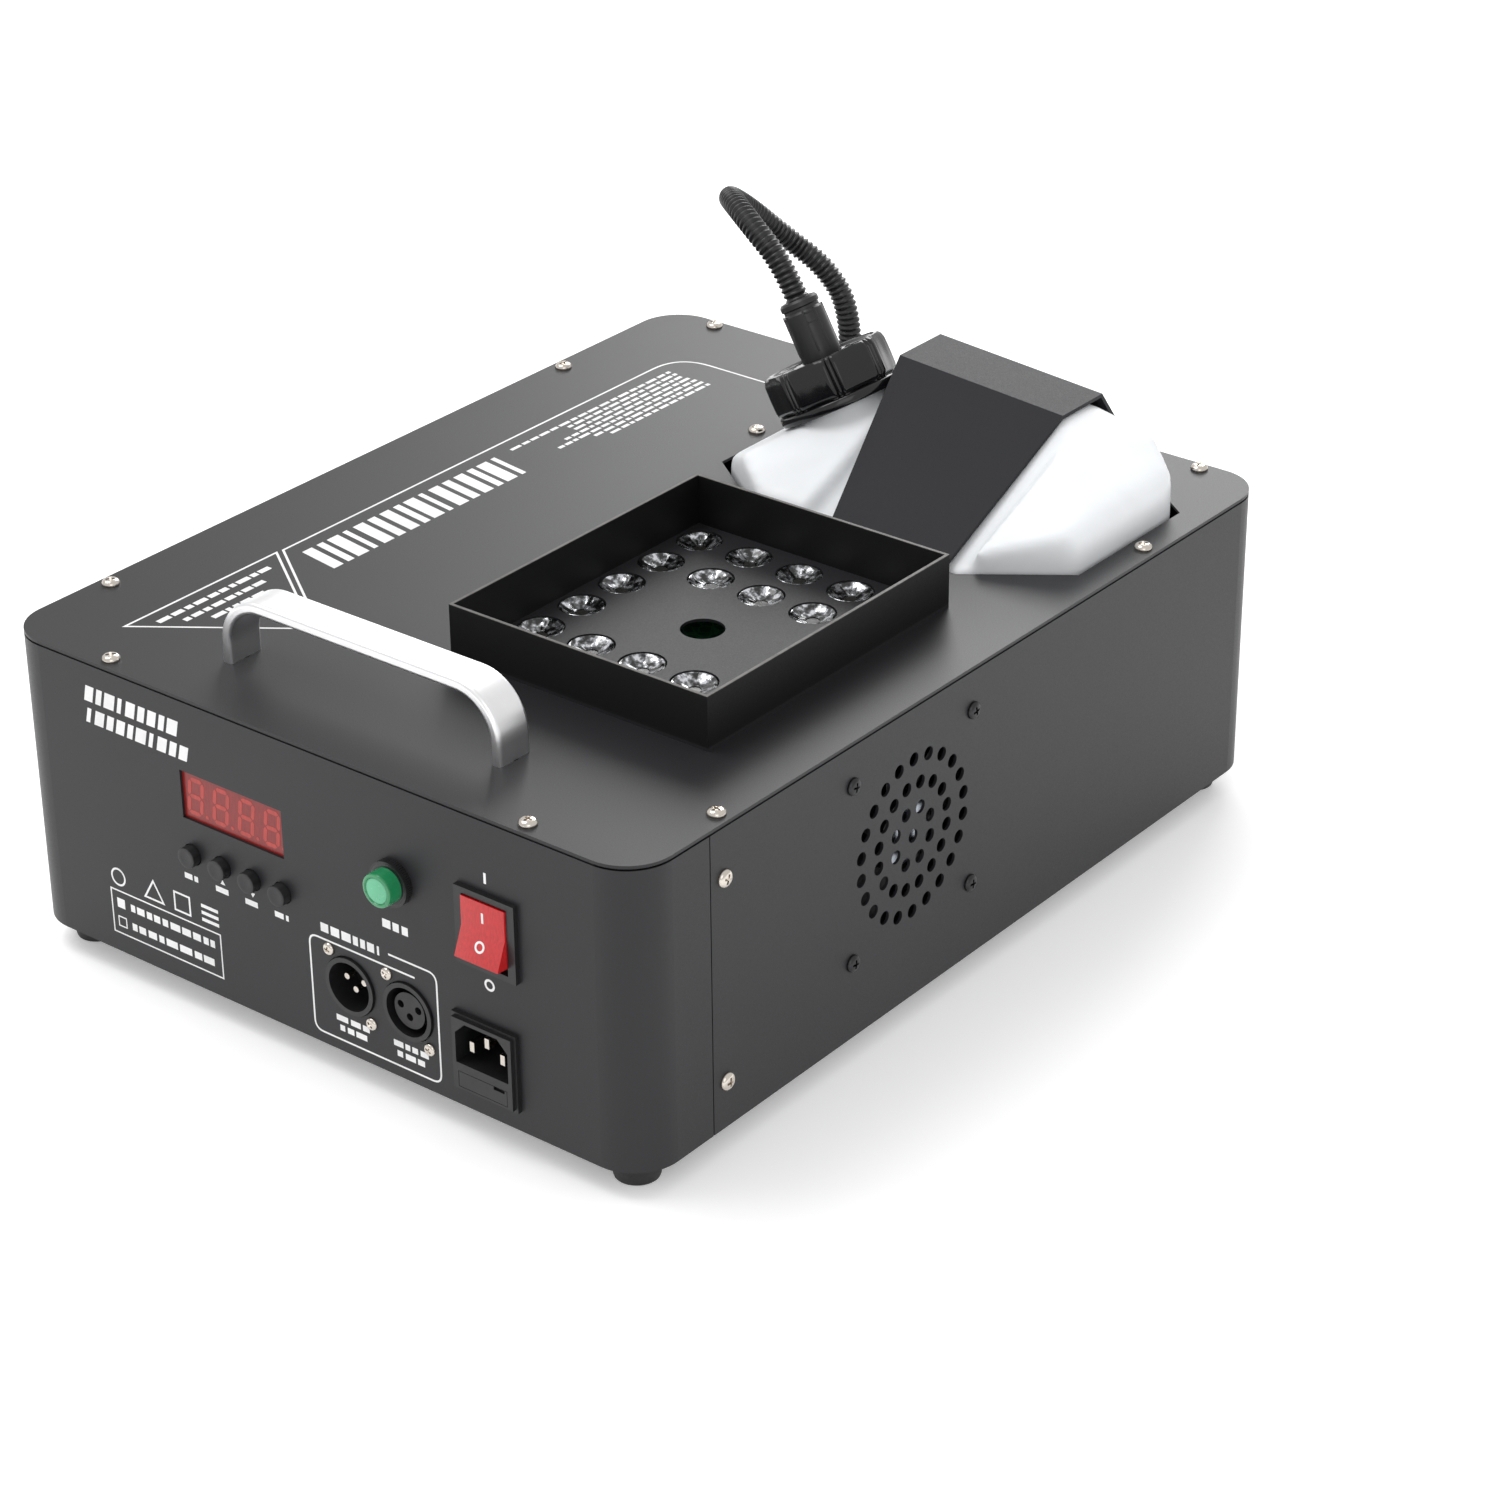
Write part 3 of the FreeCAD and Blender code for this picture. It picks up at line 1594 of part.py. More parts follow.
def fuse_drawer():
    """The fuse drawer below the recess, with a finger notch in its face."""
    y = front - inlet_proud
    body = middle_box((22, 19, 6), (inlet_x, y + 9.5), drawer_z() - 3)
    notch = box((5, 1.5, 1.5), (inlet_x + 5, y - 0.5, drawer_z() + 1.7))
    seat = box((20.4, 5.4, 5), (inlet_x - 10.2, y + 9, drawer_z() - 2))
    return node("fuse_drawer", cut(body, notch, seat))


def fuse():
    y = front - inlet_proud + 11.7
    glass = rod(4.6, 10.4, (inlet_x - 5.2, y, drawer_z() + 0.35), "+X")
    caps = [
        rod(4.6, 4.8, (inlet_x + start, y, drawer_z() + 0.35), "+X") for start in (-10, 5.2)
    ]
    return node("fuse", joined(glass, *caps))


PIN_CIRCLE = ((-4.1, 1.4), (4.1, 1.4), (0, -2.6))


def signal_shell(x):
    """The shell that shows in the panel's hole, and its mounting flange behind the panel."""
    shell = rod(signal_hole - 0.8, 26, (x, front - 1, signal_z), "+Y")
    flange = middle_box((26, 2, 31), (x, inner_front + 1), signal_z - 15.5)
    body = rod(19, 7, (x, front + 22, signal_z), "+Y")
    return joined(shell, flange, body)


def signal_holes(x):
    return [
        rod(
            2.2,
            8,
            (
                x + side * signal_screw_across / 2,
                front - 2,
                signal_z - side * signal_screw_up / 2,
            ),
            "+Y",
        )
        for side in (-1, 1)
    ]


def signal_out_socket():
    x = signal_places()[0]
    well = rod(19.2, 14, (x, front - 2, signal_z), "+Y")
    shell = cut(signal_shell(x), well, *signal_holes(x), *signal_pins(x))
    return node("signal_out_socket", shell)


def signal_pins(x):
    return [
        rod(2.4, 29, (x + across, front + 2.5, signal_z + up), "+Y") for across, up in PIN_CIRCLE
    ]


def signal_out_pins():
    return node("signal_out_pins", group(*signal_pins(signal_places()[0])))


def signal_in_socket():
    x = signal_places()[1]
    well = cut(
        rod(19.2, 13, (x, front - 2, signal_z), "+Y"),
        rod(14.2, 15, (x, front + 0.5, signal_z), "+Y"),
    )
    holes = [
        rod(3, 12, (x + across, front - 1, signal_z + up), "+Y") for across, up in PIN_CIRCLE
    ]
    return node("signal_in_socket", cut(signal_shell(x), well, *holes, *signal_holes(x)))


def signal_screws():
    places = []
    for x in signal_places():
        for side in (-1, 1):
            places.append(
                (
                    x + side * signal_screw_across / 2,
                    front,
                    signal_z - side * signal_screw_up / 2,
                )
            )
    return node("signal_screws", screws(places, "+Y", 5, 1.4, 2.1, 4.5))


# ---------------------------------------------------------------- pump, tubes and boards


def pump_line():
    """The pump's axis runs along Y beside the tank."""
    return (inner_left + 52, opening_y + 54, pan_floor + 40)


def pump_body():
    x, y, z = pump_line()
    coil = middle_box((34, 34, 38), (x, y), z - 19)
    barrel = rod(24, 66, (x, y - 33, z), "+Y")
    outlet = rod(7, 10, (x, y - 43, z), "+Y")
    inlet = rod(7, 10, (x, y + 33, z), "+Y")
    chamber = rod(piston_diameter, 40, (x, y - 20, z), "+Y")
    way = rod(3, 90, (x, y - 45, z), "+Y")
    return node("pump_body", cut(joined(coil, barrel, outlet, inlet), chamber, way))


def pump_piston():
    x, y, z = pump_line()
    blank = rod(piston_diameter - 2 * piston_clearance, 30, (x, y - 15, z), "+Y")
    way = rod(2.5, 34, (x, y - 17, z), "+Y")
    return node("pump_piston", cut(blank, way))


def pump_bracket():
    """A folded cradle that holds the pump's coil off the pan."""
    x, y, z = pump_line()
    bottom = pan_floor
    table = middle_box((40, 38, gauge), (x, y), z - 19 - gauge)
    legs = [
        middle_box((gauge, 38, z - 19 - bottom), (x + side * 20.6, y), bottom)
        for side in (-1, 1)
    ]
    feet = [
        middle_box((12, 38, gauge), (x + side * 26, y), bottom) for side in (-1, 1)
    ]
    return node("pump_bracket", joined(table, *legs, *feet))


def suction_tube():
    """The tube from the gland's underside down to the pump's inlet."""
    gland_x, gland_y = gland_place()
    x, y, z = pump_line()
    points = [
        vector(gland_x, gland_y, plate_under - 9),
        vector(gland_x, gland_y, z + 32),
        vector(gland_x - 14, gland_y, z + 4),
        vector(x + 14, y + 67, z),
        vector(x, y + 62, z),
        vector(x, y + 43, z),
    ]
    return node("suction_tube", shaped(tube_along("suction_tube", points, 6)))


def pressure_tube():
    """The metal tube from the pump's outlet to the heater's left end."""
    x, y, z = pump_line()
    heater_z = floor + heater_base + heater_height / 2 - 12
    end_x = nozzle_x - heater_width / 2
    points = [
        vector(x, y - 43, z),
        vector(x, y - 75, z),
        vector(x + 14, nozzle_y + 24, heater_z),
        vector(end_x - 24, nozzle_y + 16, heater_z),
        vector(end_x, nozzle_y + 16, heater_z),
    ]
    return node("pressure_tube", shaped(tube_along("pressure_tube", points, 4)))


def board_with_parts(label, low, lengths, parts):
    """A board on four spacers, with its soldered blocks and cans."""
    x, y = low
    width, depth = lengths
    lift = 7
    board = box((width, depth, 1.6), (x, y, pan_floor + lift))
    spacers = [
        rod(6, lift, (x + across, y + along, pan_floor))
        for across in (5, width - 5)
        for along in (5, depth - 5)
    ]
    top = pan_floor + lift + 1.6
    blocks = [
        box(block, (x + across, y + along, top)) for across, along, block in parts["blocks"]
    ]
    cans = [
        rod(can[0], can[1], (x + across, y + along, top)) for across, along, can in parts["cans"]
    ]
    return node(label, joined(board, *spacers, *blocks, *cans))


def mains_board():
    """The mains board: relay, transformer, connector strip and capacitors."""
    parts = {
        "blocks": [(8, 6, (24, 10, 12)), (40, 8, (19, 15, 15)), (72, 10, (32, 30, 26))],
        "cans": [(20, 34, (10, 14)), (36, 34, (8, 12))],
    }
    return board_with_parts("mains_board", (left + 14, front + 46), (112, 52), parts)


def driver_board():
    """The light driver board: coils, heat sink and capacitors."""
    parts = {
        "blocks": [(6, 8, (14, 62, 20)), (30, 12, (16, 16, 12)), (30, 40, (16, 16, 12))],
        "cans": [(66, 18, (13, 20)), (66, 40, (13, 20)), (66, 62, (8, 12))],
    }
    return board_with_parts("driver_board", (left + 14, front + 116), (86, 82), parts)


def build():
    base_pan()
    front_panel()
    case_wrap()
    joint_strips()
    top_plate()
    light_shroud()
    led_lenses()
    led_board()
    heater_block()
    fog_nozzle()
    heater_stands()
    heater_shield()
    thermostat()
    fluid_tank()
    tank_tray()
    tank_cap()
    cap_washer()
    hose_fitting()
    fluid_hose()
    hose_gland()
    pickup_tube()
    pickup_filter()
    tank_bracket()
    carry_handle()
    handle_screws()
    rubber_feet()
    foot_screws()
    top_screws()
    strap_screws()
    side_screws()
    fan_screws()
    fan_frame()
    fan_rotor()
    display_window()
    display_module()
    control_board()
    labels = ("menu_button", "up_button", "down_button", "enter_button")
    for label, x in zip(labels, menu_places()):
        menu_button(label, x)
    fog_button()
    fog_button_housing()
    rocker_housing()
    rocker()
    power_inlet()
    inlet_pins()
    fuse_drawer()
    fuse()
    signal_out_socket()
    signal_out_pins()
    signal_in_socket()
    signal_screws()
    pump_body()
    pump_piston()
    pump_bracket()
    suction_tube()
    pressure_tube()
    mains_board()
    driver_board()


def check_and_write():
    doc.recompute()
    for item in doc.Objects:
        if "Invalid" in item.State or "Error" in item.State:
            raise ValueError(f"{item.Label} failed: {item.State}")
    for item in nodes:
        if item.Shape.isNull() or not item.Shape.isValid():
            raise ValueError(f"{item.Label} has no valid shape")
    os.makedirs("parts", exist_ok=True)
    for item in nodes:
        item.Shape.exportStep(f"parts/{item.Label}.step")
    print(f"{len(nodes)} parts written")


build()
check_and_write()
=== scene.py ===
import json
import math
import random

import bmesh
import bpy
from mathutils import Matrix, Vector


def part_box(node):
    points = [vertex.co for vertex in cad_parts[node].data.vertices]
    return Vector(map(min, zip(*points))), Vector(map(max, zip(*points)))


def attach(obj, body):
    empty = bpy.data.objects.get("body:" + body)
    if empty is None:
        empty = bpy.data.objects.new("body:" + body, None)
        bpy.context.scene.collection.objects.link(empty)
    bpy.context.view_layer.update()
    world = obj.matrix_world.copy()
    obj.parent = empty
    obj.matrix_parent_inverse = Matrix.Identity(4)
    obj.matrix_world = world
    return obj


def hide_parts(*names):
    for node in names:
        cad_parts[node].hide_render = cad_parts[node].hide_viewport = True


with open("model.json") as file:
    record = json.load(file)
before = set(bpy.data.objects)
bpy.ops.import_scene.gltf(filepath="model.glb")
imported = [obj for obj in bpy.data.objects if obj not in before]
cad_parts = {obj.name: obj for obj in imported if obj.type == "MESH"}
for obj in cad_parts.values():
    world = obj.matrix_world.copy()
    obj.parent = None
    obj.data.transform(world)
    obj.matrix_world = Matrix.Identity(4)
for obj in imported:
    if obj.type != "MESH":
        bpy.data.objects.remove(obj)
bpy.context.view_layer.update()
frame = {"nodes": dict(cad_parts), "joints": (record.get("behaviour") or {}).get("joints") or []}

MM = 0.001
NODES = frame["nodes"]
scene = bpy.context.scene

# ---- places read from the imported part

plate_low, plate_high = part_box("top_plate")
LEFT, FRONT = plate_low.x, plate_low.y
PLATE = plate_high.z
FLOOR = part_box("base_pan")[0].z
cap_joint = next(j for j in frame["joints"] if j["name"] == "cap_turn")
NECK = Vector(cap_joint["pos_m"])
NECK_AXIS = Vector(cap_joint["axis"]).normalized()
NECK_TURN = Vector((0, 0, 1)).rotation_difference(NECK_AXIS)
NECK_FRAME = Matrix.Translation(NECK) @ NECK_TURN.to_matrix().to_4x4()


def middle(node):
    low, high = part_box(node)
    return (low + high) / 2


def in_metres(points):
    return [tuple(c * MM for c in point) for point in points]


def add(name, data):
    """A new object in the scene."""
    made = bpy.data.objects.new(name, data)
    scene.collection.objects.link(made)
    return made


# ---- camera


def place_camera():
    """Three-quarter view from the front right, a little above the machine."""
    azimuth, elevation, roll = (math.radians(a) for a in (38.468, 28.327, -0.539))
    back = Vector(
        (
            math.sin(azimuth) * math.cos(elevation),
            -math.cos(azimuth) * math.cos(elevation),
            math.sin(elevation),
        )
    )
    right = Vector((math.cos(azimuth), math.sin(azimuth), 0))
    up = back.cross(right)
    across = math.cos(roll) * right + math.sin(roll) * up
    upward = -math.sin(roll) * right + math.cos(roll) * up
    camera = add("camera", bpy.data.cameras.new("camera"))
    camera.data.lens = 95.75
    camera.data.sensor_width = 36
    camera.data.clip_start = 0.05
    camera.matrix_world = Matrix.Translation((0.8738, -1.0394, 0.7798)) @ Matrix(
        (across, upward, back)
    ).transposed().to_4x4()
    scene.camera = camera


place_camera()


# ---- finishes


class Finish:
    """A material made of a shader and the nodes that feed it."""

    def __init__(self, name, colour, roughness=0.5, metallic=0.0, **sockets):
        self.material = bpy.data.materials.new(name)
        self.material.use_nodes = True
        self.tree = self.material.node_tree
        self.shader = self.tree.nodes["Principled BSDF"]
        self.place = self.tree.nodes.new("ShaderNodeTexCoord").outputs["Object"]
        self.colour = colour
        self.shader.inputs["Base Color"].default_value = (*colour, 1)
        self.shader.inputs["Roughness"].default_value = roughness
        self.shader.inputs["Metallic"].default_value = metallic
        for socket, value in sockets.items():
            self.shader.inputs[socket.replace("_", " ")].default_value = value

    def node(self, kind, **settings):
        made = self.tree.nodes.new(kind)
        for key, value in settings.items():
            setattr(made, key, value)
        return made

    def link(self, start, end):
        self.tree.links.new(start, end)

    def stretched(self, scale):
        """Object coordinates scaled unevenly, for brushed and drawn surfaces."""
        mapping = self.node("ShaderNodeMapping")
        mapping.inputs["Scale"].default_value = scale
        self.link(self.place, mapping.inputs["Vector"])
        return mapping.outputs["Vector"]

    def noise(self, size, detail=3.0, place=None, roughness=0.5):
        """Noise whose patches are about size metres across."""
        made = self.node("ShaderNodeTexNoise")
        made.inputs["Scale"].default_value = 1.0 / size
        made.inputs["Detail"].default_value = detail
        made.inputs["Roughness"].default_value = roughness
        self.link(place or self.place, made.inputs["Vector"])
        return made.outputs["Fac"]

    def ramp(self, value, stops):
        made = self.node("ShaderNodeValToRGB")
        ramp = made.color_ramp
        while len(ramp.elements) < len(stops):
            ramp.elements.new(0.5)
        for element, (position, colour) in zip(ramp.elements, stops):
            element.position = position
            element.color = (*colour, 1)
        self.link(value, made.inputs["Fac"])
        return made.outputs["Color"]

    def spread(self, value, low, high):
        made = self.node("ShaderNodeMapRange")
        made.inputs["From Min"].default_value = 0.3
        made.inputs["From Max"].default_value = 0.7
        made.inputs["To Min"].default_value = low
        made.inputs["To Max"].default_value = high
        self.link(value, made.inputs["Value"])
        return made.outputs["Result"]

    def mottle(self, value, amount):
        """The colour lightened and darkened by a share of itself."""
        dark = [c * (1 - amount) for c in self.colour]
        light = [min(1, c * (1 + amount)) for c in self.colour]
        self.link(self.ramp(value, [(0.3, dark), (0.7, light)]), self.shader.inputs["Base Color"])
        return self

    def sheen_spread(self, value, low, high):
        self.link(self.spread(value, low, high), self.shader.inputs["Roughness"])
        return self

    def bump(self, value, height, strength=1.0):
        made = self.node("ShaderNodeBump")
        made.inputs["Distance"].default_value = height
        made.inputs["Strength"].default_value = strength
        self.link(value, made.inputs["Height"])
        self.link(made.outputs["Normal"], self.shader.inputs["Normal"])
        return self


def powder_coat(name, colour, roughness=0.5, shine=0.36):
    """Fine powder-coated sheet: a faint orange peel with tiny specks of gloss."""
    made = Finish(name, colour, roughness, Specular_IOR_Level=shine)
    grain = made.noise(0.45 * MM, 2)
    cloud = made.noise(60 * MM, 2)
    made.mottle(cloud, 0.06)
    made.sheen_spread(grain, roughness - 0.07, roughness + 0.07)
    return made.bump(grain, 0.02 * MM, 0.5).material


def highlit_edge_powder_coat(name, colour, highlight_colour, level, band, ground, ground_level):
    """Powder coat with a painted highlight, a lighter line along its upper edge, and a lighter
    floor.
    """
    made = Finish(name, colour, 0.5, Specular_IOR_Level=0.35)
    grain = made.noise(0.45 * MM, 2)
    split = made.node("ShaderNodeSeparateXYZ")
    made.link(made.place, split.inputs["Vector"])
    above = made.node("ShaderNodeMapRange")
    above.inputs["From Min"].default_value = level - band
    above.inputs["From Max"].default_value = level - band / 3
    made.link(split.outputs["Z"], above.inputs["Value"])
    # The lighter line along the top edge is a painted highlight, made in colour.
    edge_highlight = made.node("ShaderNodeMath", operation="MULTIPLY")
    made.link(above.outputs["Result"], edge_highlight.inputs[0])
    made.link(made.spread(made.noise(5 * MM, 3), 0.55, 1.0), edge_highlight.inputs[1])
    below = made.node("ShaderNodeMath", operation="LESS_THAN")
    below.inputs[1].default_value = ground_level
    made.link(split.outputs["Z"], below.inputs[0])
    mix = made.node("ShaderNodeMix", data_type="RGBA")
    made.link(below.outputs["Value"], mix.inputs["Factor"])
    made.link(made.ramp(edge_highlight.outputs["Value"], [(0.2, colour), (0.9, highlight_colour)]), mix.inputs[6])
    mix.inputs[7].default_value = (*ground, 1)
    made.link(mix.outputs[2], made.shader.inputs["Base Color"])
    made.sheen_spread(grain, 0.42, 0.56)
    return made.bump(grain, 0.02 * MM, 0.5).material


def metal(name, colour, roughness, drawn=None, grain=0.3 * MM, height=0.01 * MM):
    """Bare metal, with drawing lines along the axis whose scale is small."""
    made = Finish(name, colour, roughness, 1.0)
    place = made.stretched(drawn) if drawn else None
    lines = made.noise(grain, 3, place)
    made.mottle(made.noise(9 * MM, 3), 0.03)
    made.sheen_spread(lines, roughness * 0.85, roughness * 1.15)
    return made.bump(lines, height, 0.6).material


def moulding(name, colour, roughness, grain=0.5 * MM, height=0.012 * MM, **sockets):
    """Moulded plastic or rubber with a fine texture and slight handling marks."""
    made = Finish(name, colour, roughness, **sockets)
    fine = made.noise(grain, 2)
    made.mottle(made.noise(14 * MM, 4), 0.12)
    made.sheen_spread(made.noise(6 * MM, 4), roughness * 0.8, roughness * 1.2)
    return made.bump(fine, height, 0.6).material


def blow_moulded(name):
    """Milky polyethylene: soft waves in the wall and a faint cool tint where it is thick."""
    made = Finish(name, (0.84, 0.86, 0.88), 0.36, Subsurface_Weight=0.15)
    made.shader.inputs["Subsurface Radius"].default_value = (1, 1, 1)
    made.shader.inputs["Subsurface Scale"].default_value = 3 * MM
    waves = made.noise(24 * MM, 3)
    made.mottle(waves, 0.035)
    made.sheen_spread(made.noise(5 * MM, 3), 0.3, 0.44)
    return made.bump(made.noise(3 * MM, 3), 0.05 * MM, 0.5).material


def circuit_board(name):
    """Green solder mask with copper traces that show faintly and pale legend specks."""
    made = Finish(name, (0.012, 0.1, 0.035), 0.35)
    cells = made.node("ShaderNodeTexVoronoi", feature="DISTANCE_TO_EDGE", distance="MANHATTAN")
    cells.inputs["Scale"].default_value = 1 / (4 * MM)
    made.link(made.place, cells.inputs["Vector"])
    made.link(
        made.ramp(
            cells.outputs["Distance"],
            [(0.04, (0.03, 0.2, 0.08)), (0.1, (0.012, 0.1, 0.035)), (0.6, (0.01, 0.08, 0.03))],
        ),
        made.shader.inputs["Base Color"],
    )
    return made.bump(cells.outputs["Distance"], 0.03 * MM, 0.4).material


def lens_plastic(name):
    """Clear acrylic over a mirror-like cup; its bright and dark facets are painted reflections in
    the base colour.
    """
    made = Finish(name, (0.3, 0.305, 0.32), 0.08, 0.8, Coat_Weight=1.0, Coat_Roughness=0.03)
    # Near-black to bright patches of colour stand in for the cup's reflections: painted
    # reflections.
    reflection_patches = made.noise(2.6 * MM, 3)
    made.link(
        made.ramp(
            reflection_patches,
            [(0.42, (0.012, 0.012, 0.013)), (0.52, (0.16, 0.165, 0.17)), (0.62, (0.75, 0.76, 0.8))],
        ),
        made.shader.inputs["Base Color"],
    )
    return made.bump(made.noise(2.0 * MM, 2), 0.2 * MM, 0.7).material


def red_with_painted_glow(name, colour, painted_glow, grain, coat=0.25):
    """Red translucent plastic with a slight painted glow and a fine diagonal moulding grain."""
    made = Finish(name, colour, 0.3, Coat_Weight=coat, Coat_Roughness=0.12)
    # The emission is a painted glow: these parts are not lit from within.
    made.shader.inputs["Emission Color"].default_value = (*colour, 1)
    made.shader.inputs["Emission Strength"].default_value = painted_glow
    lines = made.noise(grain, 2, made.stretched((1, 1, 0.25)))
    made.mottle(lines, 0.16)
    return made.bump(lines, 0.03 * MM, 0.5).material


casing_paint = powder_coat("casing_paint", (0.0165, 0.0165, 0.0185), 0.43)
strap_paint = powder_coat("strap_paint", (0.0125, 0.0125, 0.0155), 0.5, 0.22)
pan_paint = powder_coat("pan_paint", (0.012, 0.012, 0.013), 0.5)
# The shroud's rim carries a painted highlight, a lighter line along its top edge.
shroud_paint = highlit_edge_powder_coat(
    "shroud_paint",
    (0.0035, 0.0035, 0.004),
    (0.1, 0.095, 0.09),
    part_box("light_shroud")[1].z,
    0.4 * MM,
    (0.0165, 0.0165, 0.0185),
    PLATE + 1.4 * MM,
)
zinc = metal("zinc_plate", (0.56, 0.58, 0.6), 0.35, (1, 0.1, 1), 0.6 * MM)
handle_metal = metal(
    "satin_aluminium", (0.93, 0.93, 0.94), 0.34, (0.04, 1, 1), 0.25 * MM, 0.003 * MM
)
heater_metal = metal("cast_aluminium", (0.55, 0.55, 0.56), 0.5, None, 0.9 * MM, 0.05 * MM)
nickel = metal("nickel_plate", (0.66, 0.61, 0.55), 0.2)
dark_screw = metal("blackened_steel", (0.05, 0.05, 0.052), 0.35)
brass = metal("sooted_brass", (0.07, 0.055, 0.035), 0.5, (1, 1, 0.1), 0.4 * MM)
gloss_black = moulding("gloss_black", (0.006, 0.006, 0.007), 0.16, 2.5 * MM, 0.015 * MM)
satin_black = moulding("satin_black", (0.011, 0.011, 0.012), 0.38)
hose_black = moulding("hose_black", (0.012, 0.012, 0.013), 0.33)
rubber = moulding("black_rubber", (0.012, 0.012, 0.012), 0.62, 0.7 * MM, 0.03 * MM)
button_grey = powder_coat("button_grey", (0.02, 0.02, 0.022), 0.42)
tank_white = blow_moulded("blow_moulded_tank")
board_green = circuit_board("board_green")
lens_clear = lens_plastic("lens_acrylic")
# The rocker, the display window and the unlit digits glow a little: painted glow.
rocker_red = red_with_painted_glow("rocker_red", (0.46, 0.006, 0.008), 0.05, 0.7 * MM)
display_red = red_with_painted_glow("display_red", (0.2, 0.008, 0.006), 0.08, 0.9 * MM, 0.0)
segment_red = red_with_painted_glow("segment_red", (0.34, 0.025, 0.018), 0.2, 0.9 * MM, 0.0)
fog_green = moulding("fog_green", (0.012, 0.24, 0.085), 0.2, 1.2 * MM, Coat_Weight=0.5)
fog_pale = moulding("fog_pale_green", (0.1, 0.46, 0.25), 0.26, 1.2 * MM, Coat_Weight=0.4)
white_ink = moulding("white_ink", (0.78, 0.78, 0.78), 0.5, 0.3 * MM, 0.005 * MM)
clear_tube = moulding("clear_tube", (0.6, 0.62, 0.6), 0.25, 1.5 * MM)
glass_fuse = moulding("fuse_glass", (0.7, 0.74, 0.74), 0.12, 2 * MM)
foil = metal("label_foil", (0.5, 0.54, 0.6), 0.3)
led_dark = moulding("lens_pit", (0.02, 0.02, 0.018), 0.3, 0.8 * MM)

CAD_FINISH = {
    casing_paint: ["front_panel", "case_wrap", "top_plate"],
    pan_paint: ["base_pan"],
    strap_paint: ["tank_bracket"],
    shroud_paint: ["light_shroud"],
    zinc: ["joint_strips", "heater_stands", "heater_shield", "tank_tray", "pump_bracket"],
    handle_metal: ["carry_handle"],
    heater_metal: ["heater_block"],
    nickel: ["handle_screws", "foot_screws", "top_screws", "strap_screws", "side_screws"]
    + ["inlet_pins", "signal_out_pins", "signal_screws", "pump_piston", "pressure_tube"],
    dark_screw: ["fan_screws"],
    brass: ["fog_nozzle"],
    gloss_black: ["tank_cap"],
    satin_black: ["hose_fitting", "hose_gland", "fan_frame", "fan_rotor", "fog_button_housing"]
    + ["rocker_housing", "power_inlet", "fuse_drawer", "signal_out_socket"]
    + ["signal_in_socket", "thermostat", "pickup_filter", "pump_body"],
    hose_black: ["fluid_hose"],
    rubber: ["rubber_feet", "cap_washer"],
    button_grey: ["menu_button", "up_button", "down_button", "enter_button"],
    tank_white: ["fluid_tank"],
    board_green: ["led_board", "control_board", "mains_board", "driver_board"],
    lens_clear: ["led_lenses"],
    rocker_red: ["rocker"],
    display_red: ["display_window", "display_module"],
    fog_green: ["fog_button"],
    clear_tube: ["pickup_tube", "suction_tube"],
    glass_fuse: ["fuse"],
}


def repaint(mesh, material):
    mesh.materials.clear()
    mesh.materials.append(material)


def dress_cad():
    for material, names in CAD_FINISH.items():
        for name in names:
            repaint(NODES[name].data, material)


dress_cad()


# ---- mesh tools


def new_piece(name, mesh, material, body="root", stands_for=()):
    """Put a mesh in the scene as a piece that rides on a body."""
    piece = add(name, mesh)
    if not mesh.materials:
        mesh.materials.append(material)
    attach(piece, body)
    if stands_for:
        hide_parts(*stands_for)
    return piece


def mesh_of(name, build, smooth_angle=35):
    """A mesh filled by a function that works on a bmesh."""
    bm = bmesh.new()
    build(bm)
    bmesh.ops.remove_doubles(bm, verts=bm.verts, dist=1e-7)
    bmesh.ops.recalc_face_normals(bm, faces=bm.faces)
    mesh = bpy.data.meshes.new(name)
    bm.to_mesh(mesh)
    bm.free()
    shade(mesh, smooth_angle)
    return mesh


def shade(mesh, smooth_angle=35):
    mesh.shade_smooth()
    mesh.set_sharp_from_angle(angle=math.radians(smooth_angle))


def turned(bm, profile, steps, placing=Matrix.Identity(4), lobes=None):
    """Turn a closed profile of (radius, height) points about the local Z axis.

    lobes(angle, radius, height) may return another radius, for grips and flutes."""
    rings = []
    for k in range(steps):
        angle = 2 * math.pi * k / steps
        ring = []
        for radius, height in profile:
            if lobes:
                radius = lobes(angle, radius, height)
            point = Vector((radius * math.cos(angle), radius * math.sin(angle), height))
            ring.append(bm.verts.new(placing @ point))
        rings.append(ring)
    count = len(profile)
    for k in range(steps):
        here, there = rings[k], rings[(k + 1) % steps]
        for i in range(count):
            j = (i + 1) % count
            corners = [here[i], there[i], there[j], here[j]]
            bm.faces.new(corners)
    bmesh.ops.remove_doubles(bm, verts=bm.verts, dist=1e-7)
    bmesh.ops.dissolve_degenerate(bm, dist=1e-7, edges=bm.edges)


def extruded(bm, outline, direction, placing=Matrix.Identity(4)):
    """A prism with the outline's points moved along a direction."""
    low = [bm.verts.new(placing @ Vector(point)) for point in outline]
    high = [bm.verts.new(placing @ (Vector(point) + Vector(direction))) for point in outline]
    bm.faces.new(low)
    bm.faces.new(list(reversed(high)))
    count = len(outline)
    for i in range(count):
        j = (i + 1) % count
        bm.faces.new([low[j], low[i], high[i], high[j]])


def block(bm, low, high, placing=Matrix.Identity(4)):
    outline = [
        (low[0], low[1], low[2]),
        (high[0], low[1], low[2]),
        (high[0], high[1], low[2]),
        (low[0], high[1], low[2]),
    ]
    extruded(bm, outline, (0, 0, high[2] - low[2]), placing)


